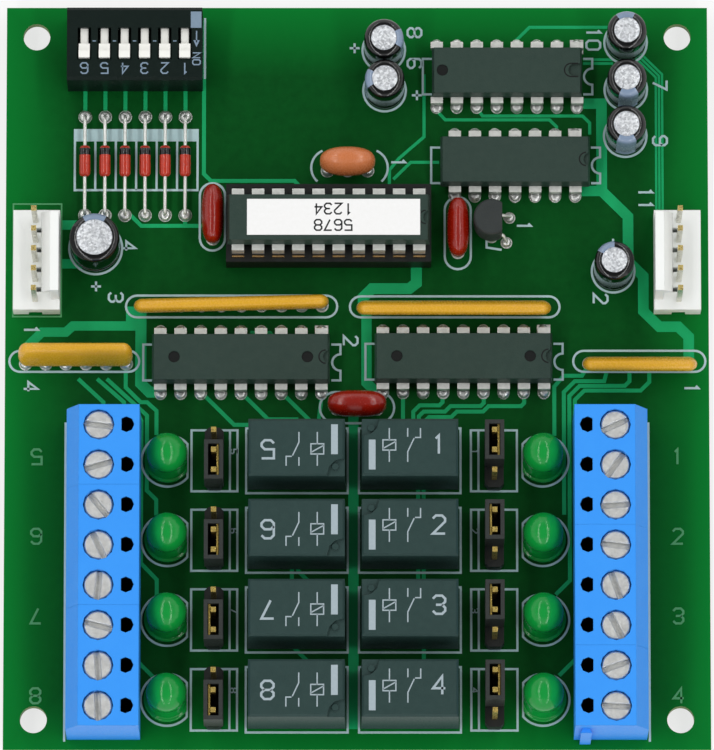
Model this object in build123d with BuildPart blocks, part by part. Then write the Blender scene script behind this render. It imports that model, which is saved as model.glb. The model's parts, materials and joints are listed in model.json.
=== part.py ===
from build123d import *
from math import atan2, cos, degrees, radians, sin
import os

# Relay module board: eight relays with their jumpers and green lamps between two rows of screw
# terminals, and the control chips, address switch and cable connectors above them.
# Sizes are in mm. X runs across the board, Y along it towards the switch, Z up.
# The origin is under the middle of the board, at the tips of its longest pins, which it stands on.

os.makedirs("parts", exist_ok=True)

# Grid that the leads follow
PITCH = 2.54
POLE_PITCH = 5.08

# Board
BOARD_WIDTH = 88.9
BOARD_LENGTH = 95.25
BOARD_THICKNESS = 1.6
MOUNT_INSET = 3.81
MOUNT_HOLE = 3.4
LONG_REACH = 2.0
SHORT_REACH = 1.2

# Clearances
RUN_GAP = 0.15
SLIP_GAP = 0.1
LEAN_GAP = 0.1

# Small round parts that repeat are drawn with this many flat sides, which keeps the model light
ROUND_SIDES = 12
FINE_SIDES = 8

# Screw terminals, measured outwards from the pole axis and up from the board
POLES_PER_SIDE = 8
BLOCK_POLES = (3, 3, 2)
POLE_INSET = 12.15
STRIP_INSET = 1.255
BLOCK_HEIGHT = 12.0
BLOCK_INNER = 5.1
BLOCK_OUTER = 4.1
BLOCK_TOP_OUTER = 2.5
BLOCK_SHOULDER = 8.6
SCREW_HEAD_RADIUS = 1.8
SCREW_HEAD_HEIGHT = 1.7
SCREW_RECESS = 0.45
SCREW_SHANK_RADIUS = 1.15
SLOT_WIDTH = 0.6
SLOT_DEPTH = 0.8
TEST_HOLE_RADIUS = 1.0
TEST_HOLE_OFFSET = 3.45
TEST_HOLE_FLAT = 0.6
TEST_HOLE_DEPTH = 9.0
RIB_OFFSET = 3.7
RIB_REACH = 0.6
RIB_NECK = 0.9
RIB_WIDTH = 1.4
RIB_TOP = 9.6
CAGE_WIDTH = 3.4
CAGE_DEPTH = 3.2
CAGE_FLOOR = 0.8
CAGE_HEIGHT = 5.4
CAGE_WALL = 0.7
CONTACT_PIN = 0.9
LEFT_SLOT_ANGLES = (-12, 12, -55, -70, 80, -20, 90, 88)
RIGHT_SLOT_ANGLES = (20, 50, 0, -12, -75, -68, 15, -8)
POLE_X = BOARD_WIDTH / 2 - POLE_INSET
STRIP_LENGTH = POLES_PER_SIDE * POLE_PITCH
STRIP_TOP = -BOARD_LENGTH / 2 + STRIP_INSET + STRIP_LENGTH

# Rows of parts between the end of the terminal strips and the top edge. Each row stands a certain
# length above the strips when the parts are crowded together, and the spare length of the board is
# shared out below the rows, so that they close up evenly on a shorter board.
CROWDED_LENGTH = 40.3
SPARE_LENGTH = BOARD_LENGTH / 2 - STRIP_TOP - CROWDED_LENGTH
DRIVER_ROW = STRIP_TOP + 5.57 + 0.15 * SPARE_LENGTH
NETWORK_ROW = STRIP_TOP + 10.3 + 0.32 * SPARE_LENGTH
PROCESSOR_ROW = STRIP_TOP + 17.68 + 0.54 * SPARE_LENGTH
LOGIC_ROW = STRIP_TOP + 24.97 + 0.61 * SPARE_LENGTH
TOP_ROW = STRIP_TOP + 32.81 + 0.89 * SPARE_LENGTH

# Relays, in two columns
CHANNELS_PER_SIDE = 4
RELAY_LENGTH = 12.3
RELAY_WIDTH = 7.5
RELAY_HEIGHT = 9.7
RELAY_STANDOFF = 0.3
RELAY_DRAFT = 0.7
RELAY_BEVEL = 0.3
RELAY_CORNER_RADIUS = 2.0
RELAY_CORNER_DEPTH = 0.5
RELAY_VENT_RADIUS = 0.45
RELAY_VENT_HEIGHT = 0.3
RELAY_PIN_ROWS = 2 * PITCH
RELAY_PIN_COLUMNS = (-2 * PITCH, -PITCH, 2 * PITCH)
RELAY_PIN = 0.5

# Lamps
LAMP_RADIUS = 2.5
LAMP_FLANGE_RADIUS = 2.9
LAMP_FLANGE_HEIGHT = 1.0
LAMP_FLAT = 2.5
LAMP_HEIGHT = 8.6
DOME_BANDS = 3
DOME_TIP = 0.3

# Jumpers
HEADER_PIN = 0.64
HEADER_BASE_WIDTH = 2.4
HEADER_BASE_HEIGHT = 2.5
HEADER_BASE_CHAMFER = 0.5
HEADER_PIN_HEIGHT = 8.4
JUMPER_POSITIONS = 3
SHUNT_WIDTH = 2.4
SHUNT_LENGTH = 5.0
SHUNT_HEIGHT = 5.9
SHUNT_WALL = 0.5
SHUNT_SEAT_GAP = 0.1
CLIP_THICKNESS = 0.25
CLIP_DROP = 0.5
LEFT_CLIP_SIDES = (1, 1, -1, -1)
RIGHT_CLIP_SIDES = (1, -1, -1, 1)

# Columns of lamps, jumpers and relays between the terminals and the middle of the board. The free
# width is shared out between them, each share on the outer side of its column: left, then right.
FREE_WIDTH = POLE_X - BLOCK_INNER - LAMP_FLANGE_RADIUS - LAMP_FLAT - HEADER_BASE_WIDTH - RELAY_LENGTH
LAMP_SHARES = (0.06, 0.13)
JUMPER_SHARES = (0.31, 0.34)
RELAY_SHARES = (0.43, 0.46)

# Cable connectors, measured inwards from the pin row
CONNECTOR_PINS = 5
CONNECTOR_INSET = 3.85
CONNECTOR_Y = PROCESSOR_ROW - 4.6
CONNECTOR_END = 0.1
CONNECTOR_OUTER = 2.8
CONNECTOR_INNER = 3.1
CONNECTOR_BASE_HEIGHT = 3.2
CONNECTOR_WALL = 1.1
CONNECTOR_WALL_HEIGHT = 9.4
CONNECTOR_LIP = 1.1
CONNECTOR_LIP_HEIGHT = 1.4
CONNECTOR_WALL_INSET = 1.3
CONNECTOR_SLOT_LENGTH = 1.4
CONNECTOR_SLOT_WIDTH = 0.6
CONNECTOR_SLOT_SHIFT = 0.7
CONNECTOR_RECESS_WIDTH = 1.7
CONNECTOR_RECESS_HEIGHT = 1.4
CONNECTOR_RECESS_DEPTH = 0.4
CONNECTOR_PIN_HEIGHT = 11.2

# Address switch
SWITCH_WAYS = 6
SWITCH_X = -28.1
SWITCH_Y = TOP_ROW + 2.8
SWITCH_LENGTH = 17.1
SWITCH_WIDTH = 9.4
SWITCH_HEIGHT = 7.1
SWITCH_EDGE = 0.4
WINDOW_LENGTH = 4.1
WINDOW_WIDTH = 1.7
WINDOW_DEPTH = 1.6
SLIDER_LENGTH = 1.9
SLIDER_RISE = 0.5
NUB_LENGTH = 0.9
TAIL_WIDTH = 1.0
TAIL_THICKNESS = 0.6

# Chips
CHIP_ROW_SPACING = 3 * PITCH
CHIP_WIDTH = 6.35
CHIP_THICKNESS = 3.4
CHIP_SEAT = 0.7
CHIP_DRAFT = 9
NOTCH_RADIUS = 0.85
LONG_NOTCH = 0.9
NOTCH_DEPTH = 0.5
DIMPLE_RADIUS = 0.75
DIMPLE_DEPTH = 0.15
DIMPLE_INSET = 2.8
TRANSCEIVER_DIMPLE_INSET = 1.3
LEAD_THICKNESS = 0.3
LEAD_SHOULDER = 1.55
LEAD_TIP = 0.5
LEAD_DROP = 1.5
SOCKET_LENGTH = 25.9
SOCKET_WIDTH = 10.0
SOCKET_HEIGHT = 4.0
SOCKET_WINDOW_LENGTH = 19.0
SOCKET_WINDOW_WIDTH = 4.6
SOCKET_POCKET_WIDTH = 1.4
SOCKET_POCKET_DEPTH = 1.2
LABEL_LENGTH = 21.8
LABEL_WIDTH = 4.6
LABEL_THICKNESS = 0.12
LABEL_SHIFT = 0.63

# Each chip is given as its centre, its number of pins and the length of its body
DRIVER_LENGTH = 22.4
MICROCONTROLLER = (-3.58, PROCESSOR_ROW, 20, 25.5)
LINE_TRANSCEIVER = (19.0, TOP_ROW, 16, 19.0)
LOGIC_CHIP = (20.0, LOGIC_ROW, 14, 18.9)

# Resistor networks
NETWORK_THICKNESS = 1.8
NETWORK_END = 0.85
NETWORK_HEIGHT = 5.0
NETWORK_STANDOFF = 0.8
NETWORK_LEAD = 0.5
LONG_NETWORK_PINS = 10
SHORT_NETWORK_PINS = 6
SHORT_NETWORK_LENGTH = (SHORT_NETWORK_PINS - 1) * PITCH + 2 * NETWORK_END

# The driver row has a short network and a driver on each side of the middle. The free width is shared
# out between them, each share on the outer side of its part: left, then right.
DRIVER_FREE_WIDTH = BOARD_WIDTH / 2 - SHORT_NETWORK_LENGTH - DRIVER_LENGTH
SHORT_NETWORK_SHARES = (0.23, 0.21)
DRIVER_SHARES = (0.32, 0.5)
SHORT_NETWORK_X = [
    BOARD_WIDTH / 2 - share * DRIVER_FREE_WIDTH - SHORT_NETWORK_LENGTH / 2 for share in SHORT_NETWORK_SHARES
]
DRIVER_X = [
    x - SHORT_NETWORK_LENGTH / 2 - share * DRIVER_FREE_WIDTH - DRIVER_LENGTH / 2
    for x, share in zip(SHORT_NETWORK_X, DRIVER_SHARES)
]
RELAY_DRIVERS = (
    (-DRIVER_X[0], DRIVER_ROW, 18, DRIVER_LENGTH),
    (DRIVER_X[1], DRIVER_ROW + 0.1, 18, DRIVER_LENGTH),
)

# Each network is given as its centre, pins, lean towards +Y and turn, in degrees
NETWORKS = (
    (-15.87, NETWORK_ROW + 0.35, LONG_NETWORK_PINS, -8, 1.4),
    (12.2, NETWORK_ROW + 0.1, LONG_NETWORK_PINS, -14, 0),
    (-SHORT_NETWORK_X[0], DRIVER_ROW - 0.17, SHORT_NETWORK_PINS, 14, 0),
    (SHORT_NETWORK_X[1], DRIVER_ROW - 0.16, SHORT_NETWORK_PINS, -14, 0),
)

# Upright electrolytic capacitors
CAN_RADIUS = 2.5
CAN_HEIGHT = 7.6
LARGE_CAN_RADIUS = 3.15
LARGE_CAN_HEIGHT = 7.2
CAN_FOLD = 0.45
CAN_STANDOFF = 0.3
CAN_LEAD = 0.5
CAN_LEAD_SPACING = 2.0
CAN_TO_CONNECTOR = 2.6
LARGE_CAN_TO_CONNECTOR = 1.29
CONNECTOR_FACE = BOARD_WIDTH / 2 - CONNECTOR_INSET - CONNECTOR_INNER
SMALL_CANS = (
    (3.4, TOP_ROW + 3.4),
    (3.5, TOP_ROW - 1.8),
    (34.1, TOP_ROW + 4.4),
    (34.1, TOP_ROW - 1.7),
    (34.0, TOP_ROW - 7.7),
    (CONNECTOR_FACE - CAN_RADIUS - CAN_TO_CONNECTOR, PROCESSOR_ROW - 5.5),
)
LARGE_CAN_X = LARGE_CAN_RADIUS + LARGE_CAN_TO_CONNECTOR - CONNECTOR_FACE
LARGE_CAN = (LARGE_CAN_X, PROCESSOR_ROW - 2.5)

# Dipped parts stand on two or three leads. Ceramics are given as centre, thickness and turn in degrees.
# The two upper ones stand at the ends of the chip socket.
CERAMIC_LENGTH = 7.4
CERAMIC_THICKNESS = 2.8
THICK_CERAMIC = 3.3
CERAMIC_HEIGHT = 4.8
CERAMIC_STANDOFF = 1.4
CERAMIC_LEAD_SPACING = 2 * PITCH
SOCKET_TO_LEFT_CERAMIC = 0.32
SOCKET_TO_RIGHT_CERAMIC = 1.99
LEFT_CERAMIC_X = MICROCONTROLLER[0] - SOCKET_LENGTH / 2 - SOCKET_TO_LEFT_CERAMIC - CERAMIC_THICKNESS / 2
RIGHT_CERAMIC_X = MICROCONTROLLER[0] + SOCKET_LENGTH / 2 + SOCKET_TO_RIGHT_CERAMIC + CERAMIC_THICKNESS / 2
CERAMICS = (
    (LEFT_CERAMIC_X, PROCESSOR_ROW + 1.25, CERAMIC_THICKNESS, 90),
    (RIGHT_CERAMIC_X, PROCESSOR_ROW - 0.5, CERAMIC_THICKNESS, 90),
    (0.0, DRIVER_ROW - 5.96, THICK_CERAMIC, 0),
)
RESONATOR_LENGTH = 6.9
RESONATOR_THICKNESS = 3.2
RESONATOR_HEIGHT = 5.0
RESONATOR_LEAN = 16
RESONATOR = (-1.2, PROCESSOR_ROW + 7.5)
DIP_TAPER = 26
DIP_CROWN = 1.2

# Regulator in a small round case with one flat side, beside the right ceramic
REGULATOR_RADIUS = 2.3
REGULATOR_FLAT = 1.3
REGULATOR_HEIGHT = 4.6
REGULATOR_STANDOFF = 2.0
REGULATOR_LEAD_PITCH = 1.27
REGULATOR_GAP = 0.54
REGULATOR = (RIGHT_CERAMIC_X + CERAMIC_THICKNESS / 2 + REGULATOR_GAP + REGULATOR_RADIUS, PROCESSOR_ROW + 0.3)

# Diodes lie above the board on bent leads
DIODE_SPAN = 5 * PITCH
DIODE_Y = LOGIC_ROW - 0.1
DIODE_RADIUS = 0.75
DIODE_LENGTH = 4.0
DIODE_SHIFT = 0.4
DIODE_RISE = 1.3
DIODE_LEAD = 0.5

# Levels and rows that follow from the sizes above
BOARD_BOTTOM = LONG_REACH
BOARD_TOP = BOARD_BOTTOM + BOARD_THICKNESS
SHORT_TIP = BOARD_BOTTOM - SHORT_REACH
STRIP_Y = STRIP_TOP - STRIP_LENGTH / 2
CHANNEL_PITCH = STRIP_LENGTH / CHANNELS_PER_SIDE
ROWS = [STRIP_TOP - (n + 0.5) * CHANNEL_PITCH for n in range(CHANNELS_PER_SIDE)]
CONNECTOR_X = BOARD_WIDTH / 2 - CONNECTOR_INSET
HEAD_TOP = BLOCK_HEIGHT - SCREW_RECESS
HEAD_BOTTOM = HEAD_TOP - SCREW_HEAD_HEIGHT
SEAT_LEVEL = HEAD_BOTTOM - RUN_GAP
CHAMBER_TOP = CAGE_FLOOR + CAGE_HEIGHT + RUN_GAP
SHANK_PASSAGE = 2 * (SCREW_SHANK_RADIUS + RUN_GAP)


def finish(piece, name):
    piece.part.label = name
    export_step(piece.part, f"parts/{name}.step")


def column_centres(lamp_share, jumper_share, relay_share):
    # distances of the lamps, jumpers and relays of one side from the middle of the board
    lamp = POLE_X - BLOCK_INNER - lamp_share * FREE_WIDTH - LAMP_FLANGE_RADIUS
    jumper = lamp - LAMP_FLAT - jumper_share * FREE_WIDTH - HEADER_BASE_WIDTH / 2
    relay = jumper - HEADER_BASE_WIDTH / 2 - relay_share * FREE_WIDTH - RELAY_LENGTH / 2
    return lamp, jumper, relay


LEFT_COLUMNS, RIGHT_COLUMNS = [
    column_centres(*shares) for shares in zip(LAMP_SHARES, JUMPER_SHARES, RELAY_SHARES)
]
LAMP_COLUMNS = ((-LEFT_COLUMNS[0], 1), (RIGHT_COLUMNS[0], -1))
JUMPER_COLUMNS = ((-LEFT_COLUMNS[1], -1, LEFT_CLIP_SIDES), (RIGHT_COLUMNS[1], 1, RIGHT_CLIP_SIDES))
RELAY_COLUMNS = ((-LEFT_COLUMNS[2], -1), (RIGHT_COLUMNS[2], 1))


def row_points(count, pitch):
    return [((i - (count - 1) / 2) * pitch, 0) for i in range(count)]


def bars(points, width, depth, low, high):
    # square or flat bars between two levels, added to the open part
    with BuildSketch(Plane.XY.offset(low)) as feet:
        with Locations(*points):
            Rectangle(width, depth)
    extrude(feet.sketch, amount=high - low)


# Board with four mounting holes
with BuildPart() as circuit_board:
    with BuildSketch(Plane.XY.offset(BOARD_BOTTOM)):
        Rectangle(BOARD_WIDTH, BOARD_LENGTH)
        with GridLocations(BOARD_WIDTH - 2 * MOUNT_INSET, BOARD_LENGTH - 2 * MOUNT_INSET, 2, 2):
            Circle(MOUNT_HOLE / 2, mode=Mode.SUBTRACT)
    extrude(amount=BOARD_THICKNESS)
finish(circuit_board, "circuit_board")


# Terminal blocks. The left strip is the right one turned half round.
def strip_plane(side, v, level):
    # a level plane on the pole axis, x outwards, at a distance v along the strip
    origin = (side * POLE_X, STRIP_Y + side * v, BOARD_TOP + level)
    return Plane(origin=origin, x_dir=(side, 0, 0), z_dir=(0, 0, 1))


def dovetail(v_end, grow):
    # trapezoid on the end face of a block, wider at its free edge
    neck = RIB_NECK / 2 + grow
    free = RIB_WIDTH / 2 + grow
    Polygon(
        (-RIB_OFFSET - neck, v_end),
        (-RIB_OFFSET + neck, v_end),
        (-RIB_OFFSET + free, v_end - RIB_REACH - grow),
        (-RIB_OFFSET - free, v_end - RIB_REACH - grow),
        align=None,
    )


def terminal_block(side, v, poles, rib, groove):
    length = poles * POLE_PITCH
    pole_points = [(0, y) for y, x in row_points(poles, POLE_PITCH)]
    upright = Plane(
        origin=(side * POLE_X, STRIP_Y + side * v, BOARD_TOP), x_dir=(side, 0, 0), z_dir=(0, -side, 0)
    )
    with BuildPart() as block:
        with BuildSketch(upright):
            with BuildLine():
                Polyline(
                    (-BLOCK_INNER, 0),
                    (BLOCK_OUTER, 0),
                    (BLOCK_OUTER, BLOCK_SHOULDER),
                    (BLOCK_TOP_OUTER, BLOCK_HEIGHT),
                    (-BLOCK_INNER, BLOCK_HEIGHT),
                    close=True,
                )
            make_face()
        extrude(amount=length / 2, both=True)
        # well for the screw head
        with BuildSketch(strip_plane(side, v, SEAT_LEVEL)):
            with Locations(*pole_points):
                RegularPolygon(SCREW_HEAD_RADIUS + RUN_GAP, ROUND_SIDES)
        extrude(amount=BLOCK_HEIGHT - SEAT_LEVEL, mode=Mode.SUBTRACT)
        # passage for the shank, then the chamber of the cage, open below
        with BuildSketch(strip_plane(side, v, 0)):
            with Locations(*pole_points):
                Rectangle(SHANK_PASSAGE, SHANK_PASSAGE)
        extrude(amount=SEAT_LEVEL, mode=Mode.SUBTRACT)
        with BuildSketch(strip_plane(side, v, 0)):
            with Locations(*pole_points):
                Rectangle(CAGE_DEPTH + 2 * RUN_GAP, CAGE_WIDTH + 2 * RUN_GAP)
        extrude(amount=CHAMBER_TOP, mode=Mode.SUBTRACT)
        # wire entry through the outer wall
        entry_points = [(BLOCK_OUTER / 2, y) for x, y in pole_points]
        with BuildSketch(strip_plane(side, v, CAGE_FLOOR)):
            with Locations(*entry_points):
                Rectangle(BLOCK_OUTER, CAGE_WIDTH)
        extrude(amount=CAGE_HEIGHT - CAGE_WALL, mode=Mode.SUBTRACT)
        # test hole with its flat towards the screw
        test_points = [(-TEST_HOLE_OFFSET, y) for x, y in pole_points]
        with BuildSketch(strip_plane(side, v, BLOCK_HEIGHT - TEST_HOLE_DEPTH)):
            with Locations(*test_points):
                RegularPolygon(TEST_HOLE_RADIUS, FINE_SIDES)
            cut_points = [(x + TEST_HOLE_FLAT + TEST_HOLE_RADIUS, y) for x, y in test_points]
            with Locations(*cut_points):
                Rectangle(2 * TEST_HOLE_RADIUS, 2 * TEST_HOLE_RADIUS, mode=Mode.SUBTRACT)
        extrude(amount=TEST_HOLE_DEPTH, mode=Mode.SUBTRACT)
        if groove:
            with BuildSketch(strip_plane(side, v, 0)):
                dovetail(length / 2, SLIP_GAP)
            extrude(amount=RIB_TOP + SLIP_GAP, mode=Mode.SUBTRACT)
        if rib:
            with BuildSketch(strip_plane(side, v, 0)):
                dovetail(-length / 2, 0)
            extrude(amount=RIB_TOP)
    return block


SIDES = {"left": -1, "right": 1}
PLACES = ("top", "middle", "bottom")
for side_name, side in SIDES.items():
    edge = STRIP_LENGTH / 2
    places = PLACES if side > 0 else PLACES[::-1]
    for place, poles in zip(places, BLOCK_POLES):
        centre = edge - poles * POLE_PITCH / 2
        edge = edge - poles * POLE_PITCH
        # the outer ends of the left strip are plain
        rib = (side_name, place) != ("left", "top")
        groove = (side_name, place) != ("left", "bottom")
        finish(terminal_block(side, centre, poles, rib, groove), f"{side_name}_terminal_{place}")

# Clamp screws and the cages that they lift. Screw 1 is nearest the switch.
POLE_ROWS = [STRIP_Y + STRIP_LENGTH / 2 - (n + 0.5) * POLE_PITCH for n in range(POLES_PER_SIDE)]
SLOT_ANGLES = {"left": LEFT_SLOT_ANGLES, "right": RIGHT_SLOT_ANGLES}
for side_name, side in SIDES.items():
    for n, (y, angle) in enumerate(zip(POLE_ROWS, SLOT_ANGLES[side_name])):
        axis = Plane(origin=(side * POLE_X, y, BOARD_TOP), z_dir=(0, 0, 1)).rotated((0, 0, angle))
        shank_end = CAGE_FLOOR + CAGE_HEIGHT - CAGE_WALL
        with BuildPart() as screw:
            with BuildSketch(axis.offset(HEAD_BOTTOM)):
                RegularPolygon(SCREW_HEAD_RADIUS, ROUND_SIDES)
            extrude(amount=SCREW_HEAD_HEIGHT)
            with BuildSketch(axis.offset(shank_end)):
                RegularPolygon(SCREW_SHANK_RADIUS, FINE_SIDES)
            extrude(amount=HEAD_BOTTOM - shank_end)
            with BuildSketch(axis.offset(HEAD_TOP - SLOT_DEPTH)):
                Rectangle(3 * SCREW_HEAD_RADIUS, SLOT_WIDTH)
            extrude(amount=SLOT_DEPTH, mode=Mode.SUBTRACT)
        finish(screw, f"{side_name}_screw_{n + 1}")

with BuildPart() as terminal_contacts:
    cage_points = [(side * POLE_X, y) for side in SIDES.values() for y in POLE_ROWS]
    bars(cage_points, CAGE_DEPTH, CAGE_WIDTH, BOARD_TOP + CAGE_FLOOR, BOARD_TOP + CAGE_FLOOR + CAGE_HEIGHT)
    with BuildSketch(Plane.XY.offset(BOARD_TOP + CAGE_FLOOR + CAGE_WALL)):
        with Locations(*cage_points):
            Rectangle(2 * CAGE_DEPTH, CAGE_WIDTH - 2 * CAGE_WALL)
    extrude(amount=CAGE_HEIGHT - 2 * CAGE_WALL, mode=Mode.SUBTRACT)
    with BuildSketch(Plane.XY.offset(BOARD_TOP + CAGE_FLOOR + CAGE_HEIGHT - CAGE_WALL)):
        with Locations(*cage_points):
            Rectangle(SHANK_PASSAGE, SHANK_PASSAGE)
    extrude(amount=CAGE_WALL, mode=Mode.SUBTRACT)
    bars(cage_points, CONTACT_PIN, CONTACT_PIN, 0, BOARD_TOP + CAGE_FLOOR)
finish(terminal_contacts, "terminal_contacts")

# Relays. Those on the left are turned half round.
relay_pin_points = []
for column, (relay_x, turn) in enumerate(RELAY_COLUMNS):
    for n, y in enumerate(ROWS):
        plane = Plane(
            origin=(relay_x, y, BOARD_TOP + RELAY_STANDOFF), x_dir=(turn, 0, 0), z_dir=(0, 0, 1)
        )
        corner = (-RELAY_LENGTH / 2 + RELAY_BEVEL, RELAY_WIDTH / 2 - RELAY_BEVEL)
        with BuildPart() as relay:
            with BuildSketch(plane):
                Rectangle(RELAY_LENGTH, RELAY_WIDTH)
            extrude(amount=RELAY_HEIGHT - RELAY_BEVEL, taper=RELAY_DRAFT)
            extrude(relay.faces().sort_by(Axis.Z)[-1], amount=RELAY_BEVEL, taper=45)
            # sunk quarter round with the vent pip in one corner of the top
            with BuildSketch(plane.offset(RELAY_HEIGHT - RELAY_CORNER_DEPTH)):
                with Locations(corner):
                    RegularPolygon(RELAY_CORNER_RADIUS, ROUND_SIDES)
            extrude(amount=RELAY_CORNER_DEPTH, mode=Mode.SUBTRACT)
            with BuildSketch(plane.offset(RELAY_HEIGHT - RELAY_CORNER_DEPTH)):
                with Locations((corner[0] + RELAY_CORNER_RADIUS / 2, corner[1] - RELAY_CORNER_RADIUS / 2)):
                    RegularPolygon(RELAY_VENT_RADIUS, FINE_SIDES)
            extrude(amount=RELAY_VENT_HEIGHT)
        finish(relay, f"relay_{column * CHANNELS_PER_SIDE + n + 1}")
        for pin_x in RELAY_PIN_COLUMNS:
            for pin_y in (-RELAY_PIN_ROWS / 2, RELAY_PIN_ROWS / 2):
                relay_pin_points.append((relay_x + turn * pin_x, y + pin_y))

with BuildPart() as relay_pins:
    bars(relay_pin_points, RELAY_PIN, RELAY_PIN, SHORT_TIP, BOARD_TOP + RELAY_STANDOFF)
finish(relay_pins, "relay_pins")

# Lamps, with the flat of the flange towards the jumpers. The dome is made of bands that close in.
dome_low = BOARD_TOP + LAMP_HEIGHT - LAMP_RADIUS
dome_angles = [90 * n / DOME_BANDS for n in range(DOME_BANDS + 1)]
with BuildPart() as output_lamps:
    for lamp_x, turn in LAMP_COLUMNS:
        with BuildSketch(Plane.XY.offset(BOARD_TOP)):
            with Locations(*[(lamp_x, y) for y in ROWS]):
                RegularPolygon(LAMP_FLANGE_RADIUS, ROUND_SIDES)
            with Locations(*[(lamp_x + turn * (LAMP_FLAT + LAMP_RADIUS), y) for y in ROWS]):
                Rectangle(2 * LAMP_RADIUS, 4 * LAMP_RADIUS, mode=Mode.SUBTRACT)
        extrude(amount=LAMP_FLANGE_HEIGHT)
    lamp_points = [(lamp_x, y) for lamp_x, turn in LAMP_COLUMNS for y in ROWS]
    with BuildSketch(Plane.XY.offset(BOARD_TOP + LAMP_FLANGE_HEIGHT)):
        with Locations(*lamp_points):
            RegularPolygon(LAMP_RADIUS, ROUND_SIDES)
    extrude(amount=dome_low - BOARD_TOP - LAMP_FLANGE_HEIGHT)
    flats = cos(radians(180 / ROUND_SIDES))
    for low, high in zip(dome_angles[:-1], dome_angles[1:]):
        low_radius = LAMP_RADIUS * cos(radians(low))
        high_radius = max(LAMP_RADIUS * cos(radians(high)), DOME_TIP)
        level = LAMP_RADIUS * sin(radians(low))
        band = LAMP_RADIUS * sin(radians(high)) - level
        with BuildSketch(Plane.XY.offset(dome_low + level)):
            with Locations(*lamp_points):
                RegularPolygon(low_radius, ROUND_SIDES)
        extrude(amount=band, taper=degrees(atan2((low_radius - high_radius) * flats, band)))
finish(output_lamps, "output_lamps")

# Jumpers: base, three pins, and a shunt over two of them
base_points = []
jumper_pin_points = []
shunt_points = []
clip_points = []
CLIP_INSET = (SHUNT_WIDTH / 2 - SHUNT_WALL + HEADER_PIN / 2) / 2
for jumper_x, towards_top, clip_sides in JUMPER_COLUMNS:
    for y, clip_side in zip(ROWS, clip_sides):
        base_points.append((jumper_x, y))
        jumper_pin_points += [(jumper_x, y + dx) for dx, dy in row_points(JUMPER_POSITIONS, PITCH)]
        shunt_y = y + towards_top * PITCH / 2
        shunt_points.append((jumper_x, shunt_y))
        clip_points.append((jumper_x + clip_side * CLIP_INSET, shunt_y))
SHUNT_BOTTOM = BOARD_TOP + HEADER_BASE_HEIGHT + SHUNT_SEAT_GAP
SHUNT_TOP = SHUNT_BOTTOM + SHUNT_HEIGHT

with BuildPart() as jumper_bases:
    with BuildSketch(Plane.XY.offset(BOARD_TOP)) as base_outline:
        with Locations(*base_points):
            Rectangle(HEADER_BASE_WIDTH, JUMPER_POSITIONS * PITCH)
        chamfer(base_outline.vertices(), HEADER_BASE_CHAMFER)
    extrude(amount=HEADER_BASE_HEIGHT)
finish(jumper_bases, "jumper_bases")

with BuildPart() as jumper_shunts:
    bars(shunt_points, SHUNT_WIDTH, SHUNT_LENGTH, SHUNT_BOTTOM, SHUNT_TOP)
    with BuildSketch(Plane.XY.offset(SHUNT_BOTTOM)):
        with Locations(*shunt_points):
            Rectangle(SHUNT_WIDTH - 2 * SHUNT_WALL, SHUNT_LENGTH - 2 * SHUNT_WALL)
    extrude(amount=SHUNT_HEIGHT, mode=Mode.SUBTRACT)
finish(jumper_shunts, "jumper_shunts")

with BuildPart() as shunt_clips:
    clip_length = SHUNT_LENGTH - 2 * SHUNT_WALL
    bars(clip_points, CLIP_THICKNESS, clip_length, SHUNT_BOTTOM, SHUNT_TOP - CLIP_DROP)
finish(shunt_clips, "shunt_clips")

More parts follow.
